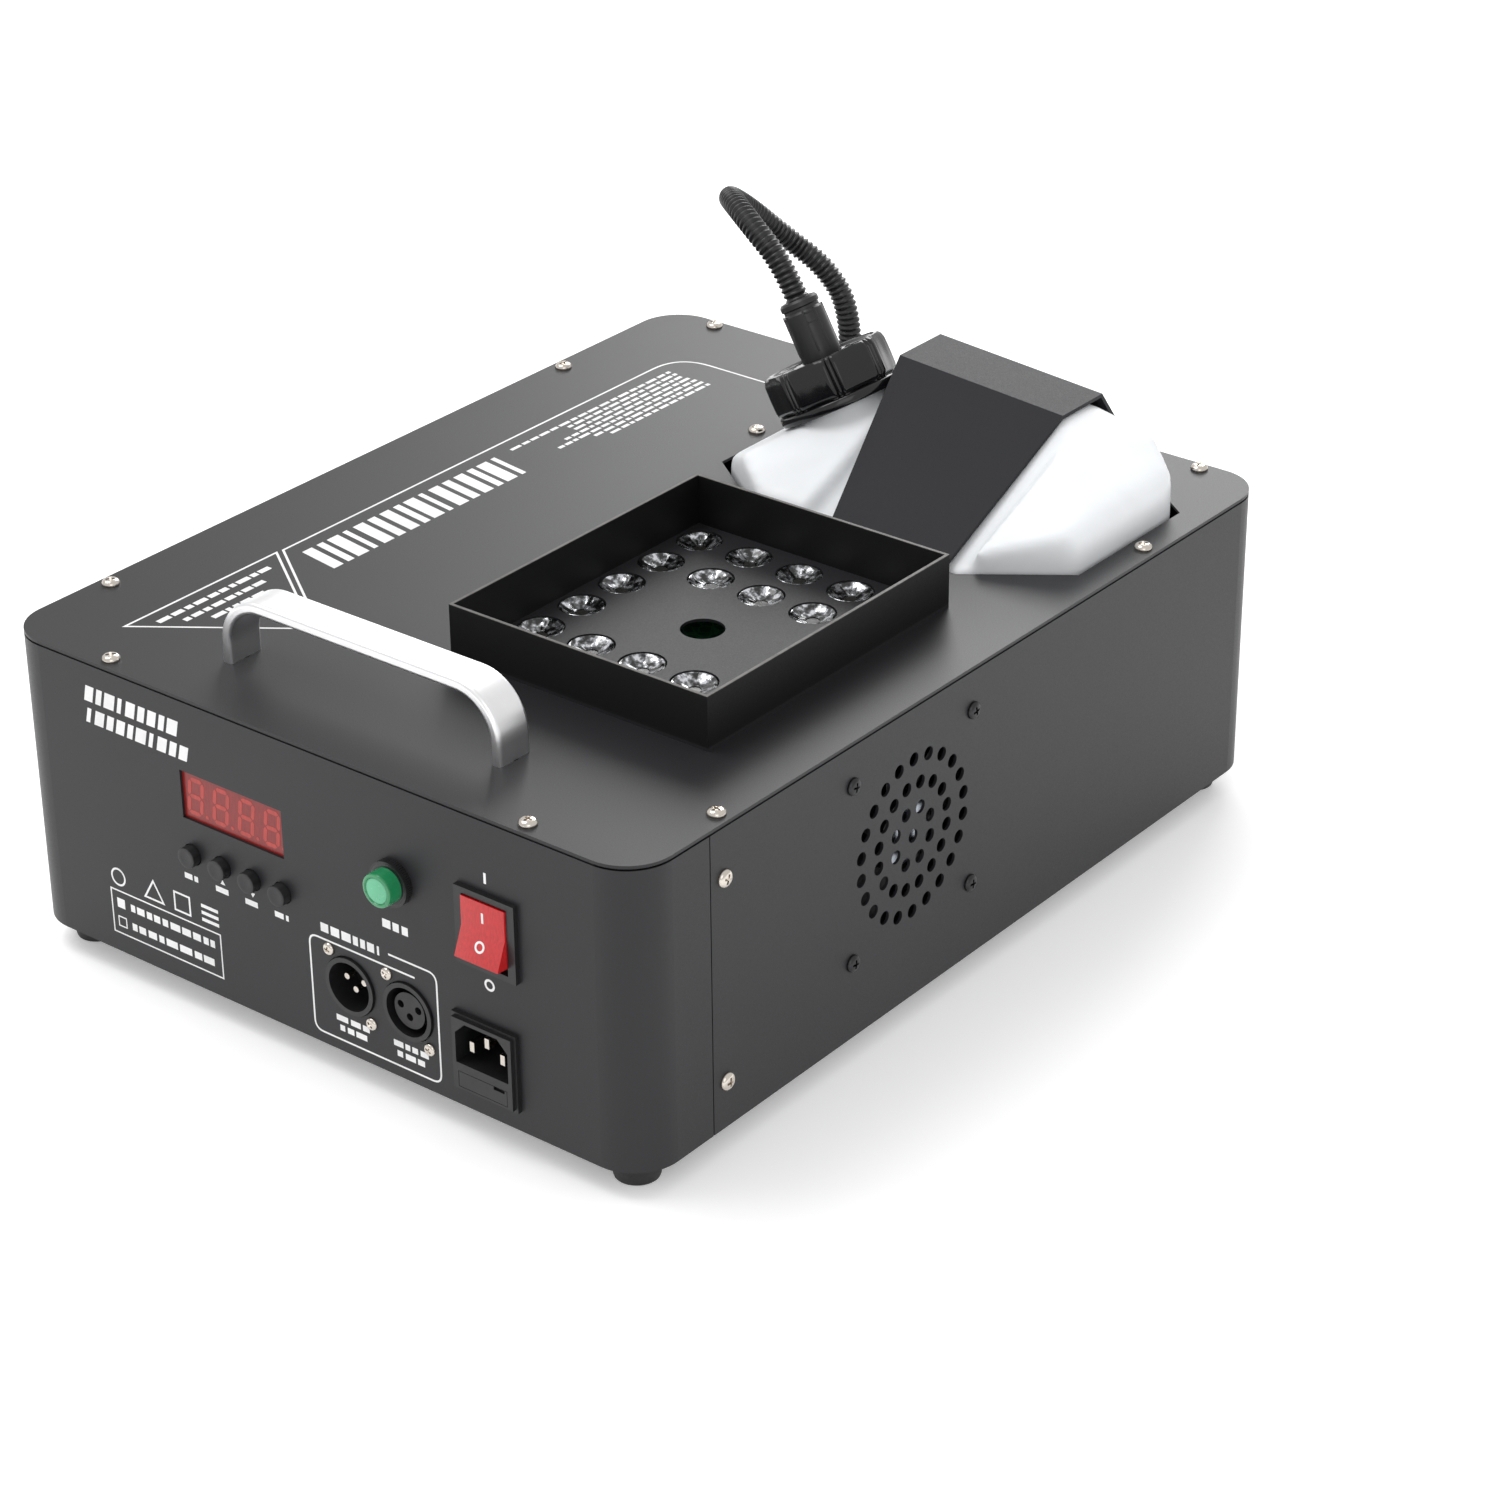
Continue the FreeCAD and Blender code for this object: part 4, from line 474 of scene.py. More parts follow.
def soften(mesh, width, segments=2, angle=30):
    """Round every sharp edge of a mesh by a bevel that is baked into it."""
    worker = add("worker", mesh)
    bevel = worker.modifiers.new("Bevel", "BEVEL")
    bevel.width = width
    bevel.segments = segments
    bevel.limit_method = "ANGLE"
    bevel.angle_limit = math.radians(angle)
    bevel.harden_normals = False
    return baked(worker)


def baked(worker):
    """The worker object's evaluated mesh; the worker goes away."""
    name = worker.data.name
    evaluated = worker.evaluated_get(bpy.context.evaluated_depsgraph_get())
    mesh = bpy.data.meshes.new_from_object(evaluated)
    mesh.name = name
    bpy.data.objects.remove(worker)
    return mesh


def cad_copy(node):
    """A merged copy of a CAD node's mesh, which points outwards already."""
    mesh = NODES[node].data.copy()
    bm = bmesh.new()
    bm.from_mesh(mesh)
    bmesh.ops.remove_doubles(bm, verts=bm.verts, dist=2e-6)
    bm.to_mesh(mesh)
    bm.free()
    return mesh


def solids(node):
    """The lowest and highest corners of each separate solid in a CAD node."""
    bm = bmesh.new()
    bm.from_mesh(NODES[node].data)
    bmesh.ops.remove_doubles(bm, verts=bm.verts, dist=2e-6)
    seen = set()
    found = []
    for start in bm.verts:
        if start in seen:
            continue
        seen.add(start)
        queue = [start]
        group = []
        while queue:
            vert = queue.pop()
            group.append(vert.co.copy())
            for edge in vert.link_edges:
                other = edge.other_vert(vert)
                if other not in seen:
                    seen.add(other)
                    queue.append(other)
        low = Vector([min(p[i] for p in group) for i in range(3)])
        high = Vector([max(p[i] for p in group) for i in range(3)])
        found.append((low, high))
    bm.free()
    return sorted(found, key=lambda pair: tuple(round(v, 5) for v in pair[0]))


FACING = {
    "+Z": Matrix.Identity(4),
    "-Z": Matrix.Rotation(math.pi, 4, "X"),
    "+X": Matrix.Rotation(math.pi / 2, 4, "Y"),
    "-X": Matrix.Rotation(-math.pi / 2, 4, "Y"),
    "-Y": Matrix.Rotation(math.pi / 2, 4, "X"),
}


# ---- repeated pieces by geometry nodes


def repeat_tree():
    """A tree that stands a unit on every point, turned by the points' own rotation."""
    tree = bpy.data.node_groups.new("stand_on_points", "GeometryNodeTree")
    face = tree.interface
    face.new_socket("Geometry", in_out="INPUT", socket_type="NodeSocketGeometry")
    face.new_socket("Unit", in_out="INPUT", socket_type="NodeSocketObject")
    face.new_socket("Unit size", in_out="INPUT", socket_type="NodeSocketFloat").default_value = 1
    face.new_socket("Random turn", in_out="INPUT", socket_type="NodeSocketFloat")
    face.new_socket("Seed", in_out="INPUT", socket_type="NodeSocketInt").default_value = 7
    face.new_socket("Finish", in_out="INPUT", socket_type="NodeSocketMaterial")
    face.new_socket("Geometry", in_out="OUTPUT", socket_type="NodeSocketGeometry")
    nodes = tree.nodes
    start = nodes.new("NodeGroupInput")
    end = nodes.new("NodeGroupOutput")
    unit = nodes.new("GeometryNodeObjectInfo")
    stand = nodes.new("GeometryNodeInstanceOnPoints")
    facing = nodes.new("GeometryNodeInputNamedAttribute")
    facing.data_type = "FLOAT_VECTOR"
    facing.inputs["Name"].default_value = "facing"
    chance = nodes.new("FunctionNodeRandomValue")
    chance.data_type = "FLOAT"
    spin = nodes.new("ShaderNodeCombineXYZ")
    turn = nodes.new("GeometryNodeRotateInstances")
    real = nodes.new("GeometryNodeRealizeInstances")
    paint = nodes.new("GeometryNodeSetMaterial")
    wires = [
        (start.outputs["Geometry"], stand.inputs["Points"]),
        (start.outputs["Unit"], unit.inputs["Object"]),
        (unit.outputs["Geometry"], stand.inputs["Instance"]),
        (start.outputs["Unit size"], stand.inputs["Scale"]),
        (facing.outputs["Attribute"], stand.inputs["Rotation"]),
        (start.outputs["Random turn"], chance.inputs[3]),
        (start.outputs["Seed"], chance.inputs["Seed"]),
        (chance.outputs[1], spin.inputs["Z"]),
        (stand.outputs["Instances"], turn.inputs["Instances"]),
        (spin.outputs["Vector"], turn.inputs["Rotation"]),
        (turn.outputs["Instances"], real.inputs["Geometry"]),
        (real.outputs["Geometry"], paint.inputs["Geometry"]),
        (start.outputs["Finish"], paint.inputs["Material"]),
        (paint.outputs["Geometry"], end.inputs["Geometry"]),
    ]
    for start_socket, end_socket in wires:
        tree.links.new(start_socket, end_socket)
    return tree


STAND_ON_POINTS = repeat_tree()


def stand_on_points(name, places, unit_mesh, material, size=1.0, random_turn=0.0, seed=7):
    """One mesh with the unit standing at each (point, facing) place."""
    points = bpy.data.meshes.new(name)
    points.from_pydata([tuple(point) for point, _ in places], [], [])
    facing = points.attributes.new("facing", "FLOAT_VECTOR", "POINT")
    for item, (_, way) in zip(facing.data, places):
        item.vector = FACING[way].to_euler()
    unit = add(name + "_unit", unit_mesh)
    worker = add(name, points)
    modifier = worker.modifiers.new("Repeat", "NODES")
    modifier.node_group = STAND_ON_POINTS
    values = {
        "Unit": unit,
        "Unit size": size,
        "Random turn": random_turn,
        "Seed": seed,
        "Finish": material,
    }
    for item in STAND_ON_POINTS.interface.items_tree:
        if item.in_out == "INPUT" and item.name in values:
            modifier[item.identifier] = values[item.name]
    bpy.context.view_layer.update()
    mesh = baked(worker)
    bpy.data.objects.remove(unit)
    repaint(mesh, material)
    return mesh


# ---- hose

HOSE_DIAMETER = 9.6 * MM
HOSE_ROUTE = [
    (-0.02083, 0.119, 0.19223),
    (-0.02808, 0.119, 0.20479),
    (-0.044, 0.1205, 0.2165),
    (-0.061, 0.1295, 0.2205),
    (-0.074, 0.1435, 0.2155),
    (-0.077, 0.1605, 0.2045),
    (-0.069, 0.1725, 0.191),
    (-0.052, 0.179, 0.179),
    (-0.0415, 0.1815, 0.162),
    (-0.0415, 0.1815, 0.1434),
]


def route_line(name, points):
    """The points of a smooth curve that the route's points steer."""
    curve = bpy.data.curves.new(name, "CURVE")
    curve.dimensions = "3D"
    spline = curve.splines.new("NURBS")
    spline.points.add(len(points) - 1)
    for point, place in zip(spline.points, points):
        point.co = (*place, 1)
    spline.order_u = 3
    spline.use_endpoint_u = True
    curve.resolution_u = 90
    mesh = baked(add(name, curve))
    line = [vert.co.copy() for vert in mesh.vertices]
    bpy.data.meshes.remove(mesh)
    return line


def stations_on(line):
    """Each point of a line with the way that it points and its length from the start."""
    stations = []
    along = 0.0
    for k, point in enumerate(line):
        before = line[max(k - 1, 0)]
        after = line[min(k + 1, len(line) - 1)]
        along += (point - before).length
        stations.append((point, (after - before).normalized(), along))
    return stations, along


def tube(bm, stations, radius_at, sides):
    """A closed tube whose radius may change along its line."""
    across = stations[0][1].orthogonal().normalized()
    rings = []
    for point, way, along in stations:
        across = (across - way * across.dot(way)).normalized()
        other = way.cross(across)
        radius = radius_at(along)
        rings.append(
            [
                bm.verts.new(
                    point
                    + across * (radius * math.cos(2 * math.pi * k / sides))
                    + other * (radius * math.sin(2 * math.pi * k / sides))
                )
                for k in range(sides)
            ]
        )
    for here, there in zip(rings, rings[1:]):
        for k in range(sides):
            j = (k + 1) % sides
            bm.faces.new([here[k], here[j], there[j], there[k]])
    bm.faces.new(list(reversed(rings[0])))
    bm.faces.new(rings[-1])


def make_hose():
    """The ribbed fluid hose, which the fitting and the gland hold at its ends."""
    line = route_line("hose_line", HOSE_ROUTE)
    pitch = 2.3 * MM
    stations, total = stations_on(line)
    top, root = HOSE_DIAMETER / 2, HOSE_DIAMETER / 2 - 0.85 * MM

    def ribbed(along):
        wave = 0.5 + 0.5 * math.cos(2 * math.pi * along / pitch)
        return root + (top - root) * wave**0.7

    mesh = mesh_of("fluid_hose", lambda bm: tube(bm, stations, ribbed, 28), 60)
    hose = new_piece("ribbed_hose", mesh, hose_black, "root", ["fluid_hose"])


make_hose()


# ---- screws


def screw_mesh(name, head, height, shank, length, recess=0.62):
    """A domed pan head with a cross recess, standing on Z = 0, with its shank below."""
    radius = head / 2
    dome = [
        (0, height),
        (radius * 0.3, height),
        (radius * 0.62, height * 0.93),
        (radius * 0.84, height * 0.74),
        (radius * 0.97, height * 0.42),
        (radius, height * 0.15),
        (radius * 0.98, 0),
        (shank / 2, 0),
        (shank / 2, -length * 0.86),
        (shank / 4, -length),
        (0, -length),
    ]
    mesh = mesh_of(name, lambda bm: turned(bm, dome, 28))
    arm, width, depth = radius * recess, radius * 0.13, height * 0.75

    def cross(bm):
        for way in (0, math.pi / 2):
            turn = Matrix.Rotation(way, 4, "Z")
            outline = [
                (-arm, -width, height * 1.2),
                (arm, -width, height * 1.2),
                (arm * 0.45, -width, height - depth),
                (-arm * 0.45, -width, height - depth),
            ]
            extruded(bm, outline, (0, 2 * width, 0), turn)

    cutter = add("cutter", mesh_of("cutter", cross))
    worker = add(name, mesh)
    boolean = worker.modifiers.new("Recess", "BOOLEAN")
    boolean.operation = "DIFFERENCE"
    boolean.solver = "EXACT"
    boolean.use_self = True
    boolean.object = cutter
    result = baked(worker)
    bpy.data.objects.remove(cutter)
    shade(result, 40)
    return result


def make_screws(node, way, head, height, shank, material, seed):
    """Screws in place of a CAD node's plain ones, each turned at random about its axis."""
    places = []
    for low, high in solids(node):
        facing = way(low, high) if callable(way) else way
        axis = "XYZ".index(facing[1])
        outer, inner = (high, low) if facing[0] == "+" else (low, high)
        seat = (low + high) / 2
        seat[axis] = outer[axis] - height if facing[0] == "+" else outer[axis] + height
        length = abs(seat[axis] - inner[axis])
        places.append((seat, facing))
    unit = screw_mesh(node + "_unit", head, height, shank, length)
    mesh = stand_on_points(node, places, unit, material, 1.0, math.tau, seed)
    new_piece(node + "_detail", mesh, material, "root", [node])


def outward_side(low, high):
    return "+X" if low.x > 0 else "-X"


make_screws("top_screws", "+Z", 7 * MM, 2.2 * MM, 3.5 * MM, nickel, 3)
make_screws("strap_screws", "+Z", 5.6 * MM, 1.8 * MM, 3 * MM, nickel, 5)
make_screws("side_screws", outward_side, 7 * MM, 2 * MM, 3.5 * MM, nickel, 8)
make_screws("fan_screws", "+X", 6.8 * MM, 1.8 * MM, 3.9 * MM, dark_screw, 2)
make_screws("signal_screws", "-Y", 5 * MM, 1.4 * MM, 2.1 * MM, nickel, 4)
make_screws("handle_screws", "-Z", 7.5 * MM, 2.6 * MM, 3.2 * MM, nickel, 6)
make_screws("foot_screws", "-Z", 7.4 * MM, 2.4 * MM, 3.5 * MM, nickel, 9)


# ---- lights and feet


def make_lenses():
    """Each light is a clear cup with a rim, a cone made bright by painted reflections and a dark
    pit over its chip.
    """
    places = []
    for low, high in solids("led_lenses"):
        centre = (low + high) / 2
        places.append((Vector((centre.x, centre.y, high.z)), "+Z"))
        radius, depth = (high.x - low.x) / 2 / MM, (high.z - low.z) / MM
    shape = [
        (0, -4.6),
        (2.3, -4.6),
        (2.6, -2.7),
        (3.3, -2.4),
        (4.6, -2.0),
        (6.4, -1.1),
        (7.2, -0.55),
        (7.7, -0.2),
        (radius - 0.5, 0),
        (radius, -0.4),
        (radius, -3.6),
        (3.4, -depth),
        (0, -depth),
    ]

    def facets(angle, r, height):
        ripple = 1 + 0.035 * math.cos(12 * angle) if 2.5 * MM < r < 7.2 * MM else 1
        return r * ripple

    unit = mesh_of("lens_unit", lambda bm: turned(bm, in_metres(shape), 48, lobes=facets), 28)
    mesh = stand_on_points("lenses", places, unit, lens_clear, 1.0, math.tau, 11)
    new_piece("light_lenses", mesh, lens_clear, "root", ["led_lenses"])
    chip = [(0, -3.0 * MM), (2.45 * MM, -3.0 * MM), (2.3 * MM, -4.5 * MM), (0, -4.5 * MM)]
    unit = mesh_of("chip_unit", lambda bm: turned(bm, chip, 20))
    mesh = stand_on_points("chips", places, unit, led_dark)
    new_piece("light_chips", mesh, led_dark, "root", ())


make_lenses()


def make_feet():
    """Moulded rubber feet: a rounded pad edge, a waist and a recessed screw."""
    places = []
    for low, high in solids("rubber_feet"):
        places.append((Vector(((low.x + high.x) / 2, (low.y + high.y) / 2, low.z)), "+Z"))
        top, tall = (high.x - low.x) / 2 / MM, (high.z - low.z) / MM
    foot = top - 1.5
    shape = [
        (4.5, 0.5),
        (5.0, 0),
        (foot - 1.2, 0),
        (foot - 0.3, 0.4),
        (foot, 1.3),
        (top - 0.3, tall - 1.0),
        (top - 0.1, tall - 0.3),
        (top - 0.5, tall),
        (2.1, tall),
        (2.1, 6),
        (4.5, 6),
    ]
    unit = mesh_of("foot_unit", lambda bm: turned(bm, in_metres(shape), 48))
    mesh = stand_on_points("feet", places, unit, rubber)
    new_piece("moulded_feet", mesh, rubber, "root", ["rubber_feet"])


make_feet()


# ---- tank, cap and fitting


def plugged(mesh):
    """Shut the neck's bore, so that remeshing sees the tank as one closed form."""
    bm = bmesh.new()
    bm.from_mesh(mesh)
    plug = [(0, 2 * MM), (18 * MM, 2 * MM), (18 * MM, 14.2 * MM), (0, 14.2 * MM)]
    turned(bm, plug, 40, NECK_FRAME)
    bmesh.ops.recalc_face_normals(bm, faces=bm.faces)
    bm.to_mesh(mesh)
    bm.free()
    return mesh


def make_tank():
    """The blow-moulded tank: its outer form remeshed and relaxed so that every edge flows."""
    worker = add("tank", plugged(cad_copy("fluid_tank")))
    remesh = worker.modifiers.new("Remesh", "REMESH")
    remesh.mode = "VOXEL"
    remesh.voxel_size = 1.9 * MM
    relax = worker.modifiers.new("Relax", "SMOOTH")
    relax.factor = 0.5
    relax.iterations = 14
    mesh = baked(worker)
    mesh.materials.clear()
    shade(mesh, 180)
    new_piece("moulded_tank", mesh, tank_white, "root", ["fluid_tank"])


make_tank()


def in_steps(value, low, high):
    """Smooth step from 0 below low to 1 above high."""
    share = min(1, max(0, (value - low) / (high - low)))
    return share * share * (3 - 2 * share)


def make_cap():
    """The screw cap: eight grip panels, a rolled upper rim, a groove and a collar."""
    shape = [
        (8.6, 18.6),
        (8.6, 21.2),
        (12, 21.2),
        (12.6, 20.6),
        (20.4, 20.6),
        (21.2, 21.3),
        (22.6, 21.95),
        (24.0, 21.7),
        (25.0, 20.6),
        (25.6, 18.6),
        (25.7, 13),
        (25.6, 7.6),
        (25.2, 6.1),
        (24.3, 5.6),
        (24.2, 5.1),
        (25.0, 4.8),
        (25.3, 4.2),
        (25.3, 2.0),
        (24.9, 1.2),
        (24.0, 1.0),
        (19.7, 1.0),
        (19.7, 17.9),
        (8.6, 17.9),
    ]

    def grips(angle, radius, height):
        if radius < 23.2 * MM or height < 5.4 * MM:
            return radius
        phase = (angle / (math.pi / 4)) % 1.0
        from_rib = min(phase, 1 - phase)
        groove = math.exp(-((from_rib - 0.055) / 0.02) ** 2)
        hollow = in_steps(from_rib, 0.1, 0.22) * (0.5 + 0.5 * math.cos(math.tau * (phase - 0.5)))
        upper = 1 - in_steps(height, 20.4 * MM, 21.6 * MM)
        return radius - (0.9 * MM * groove + 1.15 * MM * hollow) * (0.35 + 0.65 * upper)

    mesh = mesh_of("cap", lambda bm: turned(bm, in_metres(shape), 320, NECK_FRAME, grips), 50)
    new_piece("grip_cap", mesh, gloss_black, "tank_cap", ["tank_cap"])


make_cap()


def make_fitting():
    """The hose fitting: a stem with clip windows and a shouldered top."""

    def build(bm):
        body = [
            (4.5, 10),
            (4.5, 15),
            (18.6, 15),
            (18.7, 16.7),
            (8.1, 16.75),
            (8.2, 23),
            (8.2, 37),
            (8.1, 40.2),
            (7.3, 41.2),
            (7.2, 42.3),
            (7.9, 42.8),
            (7.9, 44.6),
            (7.2, 45.6),
            (4.9, 46.0),
            (0, 46.0),
            (0, 10),
        ]
        turned(bm, in_metres(body), 64, NECK_FRAME)

    mesh = mesh_of("fitting", build, 30)
    new_piece("hose_stem", mesh, satin_black, "root", ["hose_fitting"])

    # The cap's bore, 8.55 mm in radius, passes over the corners of the clips as it lifts
    reach, root, half_bar, rail, half_rail = (c * MM for c in (8.47, 7.4, 2.0, 2.4, 0.4))
    bar_face = math.sqrt(reach**2 - half_bar**2)
    rail_face = math.sqrt(reach**2 - (rail + half_rail) ** 2)

    def clips(bm):
        for angle in (-0.55, -2.2, 1.1, 2.7):
            turn = NECK_FRAME @ Matrix.Rotation(angle, 4, "Z")
            for start in (35.5 * MM, 39.4 * MM):
                low = (root, -half_bar, start)
                block(bm, low, (bar_face, half_bar, start + 0.9 * MM), turn)
            for place in (-rail, rail):
                low = (root, place - half_rail, 24 * MM)
                block(bm, low, (rail_face, place + half_rail, 41 * MM), turn)

    mesh = soften(mesh_of("clips", clips), 0.15 * MM)
    new_piece("stem_clips", mesh, satin_black, "root", ())


make_fitting()


def make_hub_label():
    """The round foil label on the fan's hub, which shows through the vent."""
    low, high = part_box("fan_rotor")
    centre = middle("fan_rotor")
    placing = Matrix.Translation((high.x, centre.y, centre.z)) @ FACING["+X"]
    disc = [(0, 0.12 * MM), (12.8 * MM, 0.12 * MM), (13.0 * MM, -0.05 * MM), (0, -0.05 * MM)]
    mesh = mesh_of("hub_label", lambda bm: turned(bm, disc, 48, placing))
    new_piece("fan_label", mesh, foil, "fan", ())


make_hub_label()


# ---- buttons, rocker and display


def make_menu_buttons():
    """Four round push buttons with dished faces and dark sides."""
    for node in ("menu_button", "up_button", "down_button", "enter_button"):
        low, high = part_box(node)
        centre = middle(node)
        radius, flange = 4.1, 1.3
        depth = (high.y - low.y) / MM
        shape = [
            (0, -0.25),
            (radius * 0.6, -0.12),
            (radius - 0.5, 0),
            (radius - 0.12, -0.12),
            (radius, -0.5),
            (radius, -depth + 1.0),
            (radius + flange, -depth + 1.0),
            (radius + flange, -depth),
            (0, -depth),
        ]
        placing = Matrix.Translation((centre.x, low.y, centre.z)) @ FACING["-Y"]
        mesh = mesh_of(node, lambda bm: turned(bm, in_metres(shape), 48, placing))
        mesh.materials.append(button_grey)
        mesh.materials.append(satin_black)
        for polygon in mesh.polygons:
            polygon.material_index = 0 if polygon.normal.y < -0.6 else 1
        new_piece(node + "_cap", mesh, button_grey, node, [node])


make_menu_buttons()


def make_fog_button():
    """The green button: a chamfered cap with a pale raised face, in a black bezel."""
    low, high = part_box("fog_button")
    centre = middle("fog_button")
    placing = Matrix.Translation((centre.x, low.y, centre.z)) @ FACING["-Y"]
    radius = (high.x - low.x) / 2 / MM
    shape = [
        (0, -0.5),
        (radius - 1.6, -0.5),
        (radius - 1.3, -0.05),
        (radius - 0.9, 0),
        (radius - 0.25, -0.3),
        (radius, -1.0),
        (radius, -11),
        (3, -11),
        (3, -20),
        (0, -20),
    ]
    mesh = mesh_of("fog_cap", lambda bm: turned(bm, in_metres(shape), 64, placing))
    new_piece("fog_button_cap", mesh, fog_green, "fog_button", ["fog_button"])
    inner = radius - 1.75
    face = [
        (0, -0.14),
        (inner * 0.7, -0.17),
        (inner - 0.2, -0.3),
        (inner, -0.52),
        (0, -0.52),
    ]
    mesh = mesh_of("fog_face", lambda bm: turned(bm, in_metres(face), 64, placing))
    new_piece("fog_button_face", mesh, fog_pale, "fog_button", ())
    bezel_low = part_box("fog_button_housing")[0]
    outer = 8.75
    proud = (FRONT - bezel_low.y) / MM
    ring = [
        (radius + 0.12, -proud + 0.3),
        (radius + 0.12, -0.3),
        (radius + 0.5, 0),
        (outer - 0.9, 0),
        (outer - 0.25, -0.35),
        (outer, -1.0),
        (outer, -proud),
        (radius + 0.9, -proud),
    ]
    placing = Matrix.Translation((centre.x, bezel_low.y - 0.02 * MM, centre.z)) @ FACING["-Y"]
    mesh = mesh_of("fog_bezel", lambda bm: turned(bm, in_metres(ring), 64, placing))
    new_piece("fog_bezel_ring", mesh, gloss_black, "root", ())


make_fog_button()


def make_rocker():
    """The rocker with softened edges, and its white bar and ring."""
    mesh = soften(cad_copy("rocker"), 0.45 * MM, 3, 25)
    mesh.materials.clear()
    shade(mesh, 40)
    new_piece("rocker_cap", mesh, rocker_red, "rocker", ["rocker"])
    joint = next(j for j in frame["joints"] if j["name"] == "rocker_tilt")
    pivot = Vector(joint["pos_m"])
    slope = math.radians(11)
    pressed = Matrix.Translation(pivot) @ Matrix.Rotation(-slope, 4, "X")
    crest = pressed @ Matrix.Translation((0, -5.823 * MM, 0))

    def marks(bm):
        # The two faces slope away from the middle by the swing's half, so each mark
        # is drawn flat and turned onto its own face.
        upper = crest @ Matrix.Rotation(slope, 4, "X")
        block(bm, (-0.45 * MM, -0.07 * MM, 3.6 * MM), (0.45 * MM, 0.05 * MM, 7.6 * MM), upper)
        lower = crest @ Matrix.Rotation(-slope, 4, "X")
        ring = in_metres([(1.35, -0.05), (1.35, 0.07), (2.15, 0.07), (2.15, -0.05)])
        turned(bm, ring, 40, lower @ Matrix.Translation((0, 0, -5.2 * MM)) @ FACING["-Y"])

    mesh = mesh_of("rocker_marks", marks)
    new_piece("rocker_marks", mesh, white_ink, "rocker", ())


make_rocker()


def seven_segments(bm, corner, width, height, lean, thick, face):
    """One digit's seven segments as thin hexagonal bars on the display's face."""
    gap = thick * 0.16
    half = height / 2

    def bar(start, end):
        along = (end - start).normalized()
        side = Vector((-along.y, along.x))
        a, b = start + along * gap, end - along * gap
        tip = thick / 2
        outline = [
            a,
            a + along * tip + side * tip,
            b - along * tip + side * tip,
            b,
            b - along * tip - side * tip,
            a + along * tip - side * tip,
        ]
        points = []
        for p in outline:
            slanted = p.x + lean * (p.y - half)
            points.append((corner[0] + slanted, face, corner[1] + p.y))
        extruded(bm, points, (0, 0.12 * MM, 0))

    nodes = [Vector((x, y)) for y in (0, half, height) for x in (0, width)]
    for i, j in ((0, 1), (2, 3), (4, 5), (0, 2), (1, 3), (2, 4), (3, 5)):
        bar(nodes[i], nodes[j])


def make_display():
    """Four unlit digits, with a faint painted glow in their finish, and their points on the red
    window's face.
    """
    low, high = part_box("display_module")
    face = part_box("display_window")[0].y - 0.06 * MM
    pitch = (high.x - low.x) / 4
    tall = (high.z - low.z) * 0.72
    wide = pitch * 0.5

    def digits(bm):
        for k in range(4):
            x = low.x + pitch * (k + 0.5) - wide / 2
            z = (low.z + high.z) / 2 - tall / 2
            seven_segments(bm, (x, z), wide, tall, 0.12, 1.75 * MM, face)
            dot = [(0.75 * MM, 0), (0, 0), (0, 0.12 * MM), (0.75 * MM, 0.12 * MM)]
            at = Matrix.Translation((x + wide + 2.0 * MM, face + 0.12 * MM, z + 0.2 * MM))
            turned(bm, dot, 16, at @ FACING["-Y"])

    mesh = mesh_of("digits", digits)
    new_piece("display_digits", mesh, segment_red, "root", ())


make_display()


# ---- printing


def ink_line(bm, points, width, closed=False, normal=Vector((0, 0, 1))):
    """A printed line with mitred corners, a few hundredths of a millimetre thick."""
    count = len(points)
    rails = []
    for i, point in enumerate(points):
        before = points[i - 1] if i > 0 or closed else None
        after = points[(i + 1) % count] if i < count - 1 or closed else None
        ways = []
        if before is not None:
            ways.append((point - before).normalized())
        if after is not None:
            ways.append((after - point).normalized())
        mean = sum(ways, Vector()) / len(ways)
        mean.normalize()
        reach = width / 2 / max(0.35, mean.dot(ways[0]))
        side = normal.cross(mean) * reach
        lift = normal * 0.03 * MM
        corners = ((-1, 0), (1, 0), (1, 1), (-1, 1))
        rails.append([bm.verts.new(point + s * side + t * lift) for s, t in corners])
    pairs = [(i, (i + 1) % count) for i in range(count if closed else count - 1)]
    for i, j in pairs:
        for k in range(4):
            bm.faces.new([rails[i][k], rails[i][(k + 1) % 4], rails[j][(k + 1) % 4], rails[j][k]])
    if not closed:
        bm.faces.new(list(reversed(rails[0])))
        bm.faces.new(rails[-1])


def rounded(points, radius, steps=6):
    """Open outline whose inner corners become arcs."""
    result = [points[0]]
    for before, corner, after in zip(points, points[1:], points[2:]):
        into = (before - corner).normalized()
        out = (after - corner).normalized()
        a, b = corner + into * radius, corner + out * radius
        for k in range(steps + 1):
            share = k / steps
            result.append((a.lerp(corner, share)).lerp(corner.lerp(b, share), share))
    result.append(points[-1])
    return result


def on_plate(x, y):
    """A point on the top plate, in millimetres from its left edge and its front edge."""
    return Vector((LEFT + x * MM, FRONT + y * MM, PLATE + 0.01 * MM))


def on_panel(x, z):
    """A point on the control panel, in millimetres from its left edge and the pan's underside."""
    return Vector((LEFT + x * MM, FRONT - 0.01 * MM, FLOOR + z * MM))


UP = Vector((0, 0, 1))
OUT = Vector((0, -1, 0))
INK = 0.03 * MM


def ink_patch(bm, outline, normal):
    """A flat printed shape; its outline is turned so that it faces along the normal."""
    if (outline[1] - outline[0]).cross(outline[2] - outline[1]).dot(normal) < 0:
        outline.reverse()
    extruded(bm, outline, normal * INK)


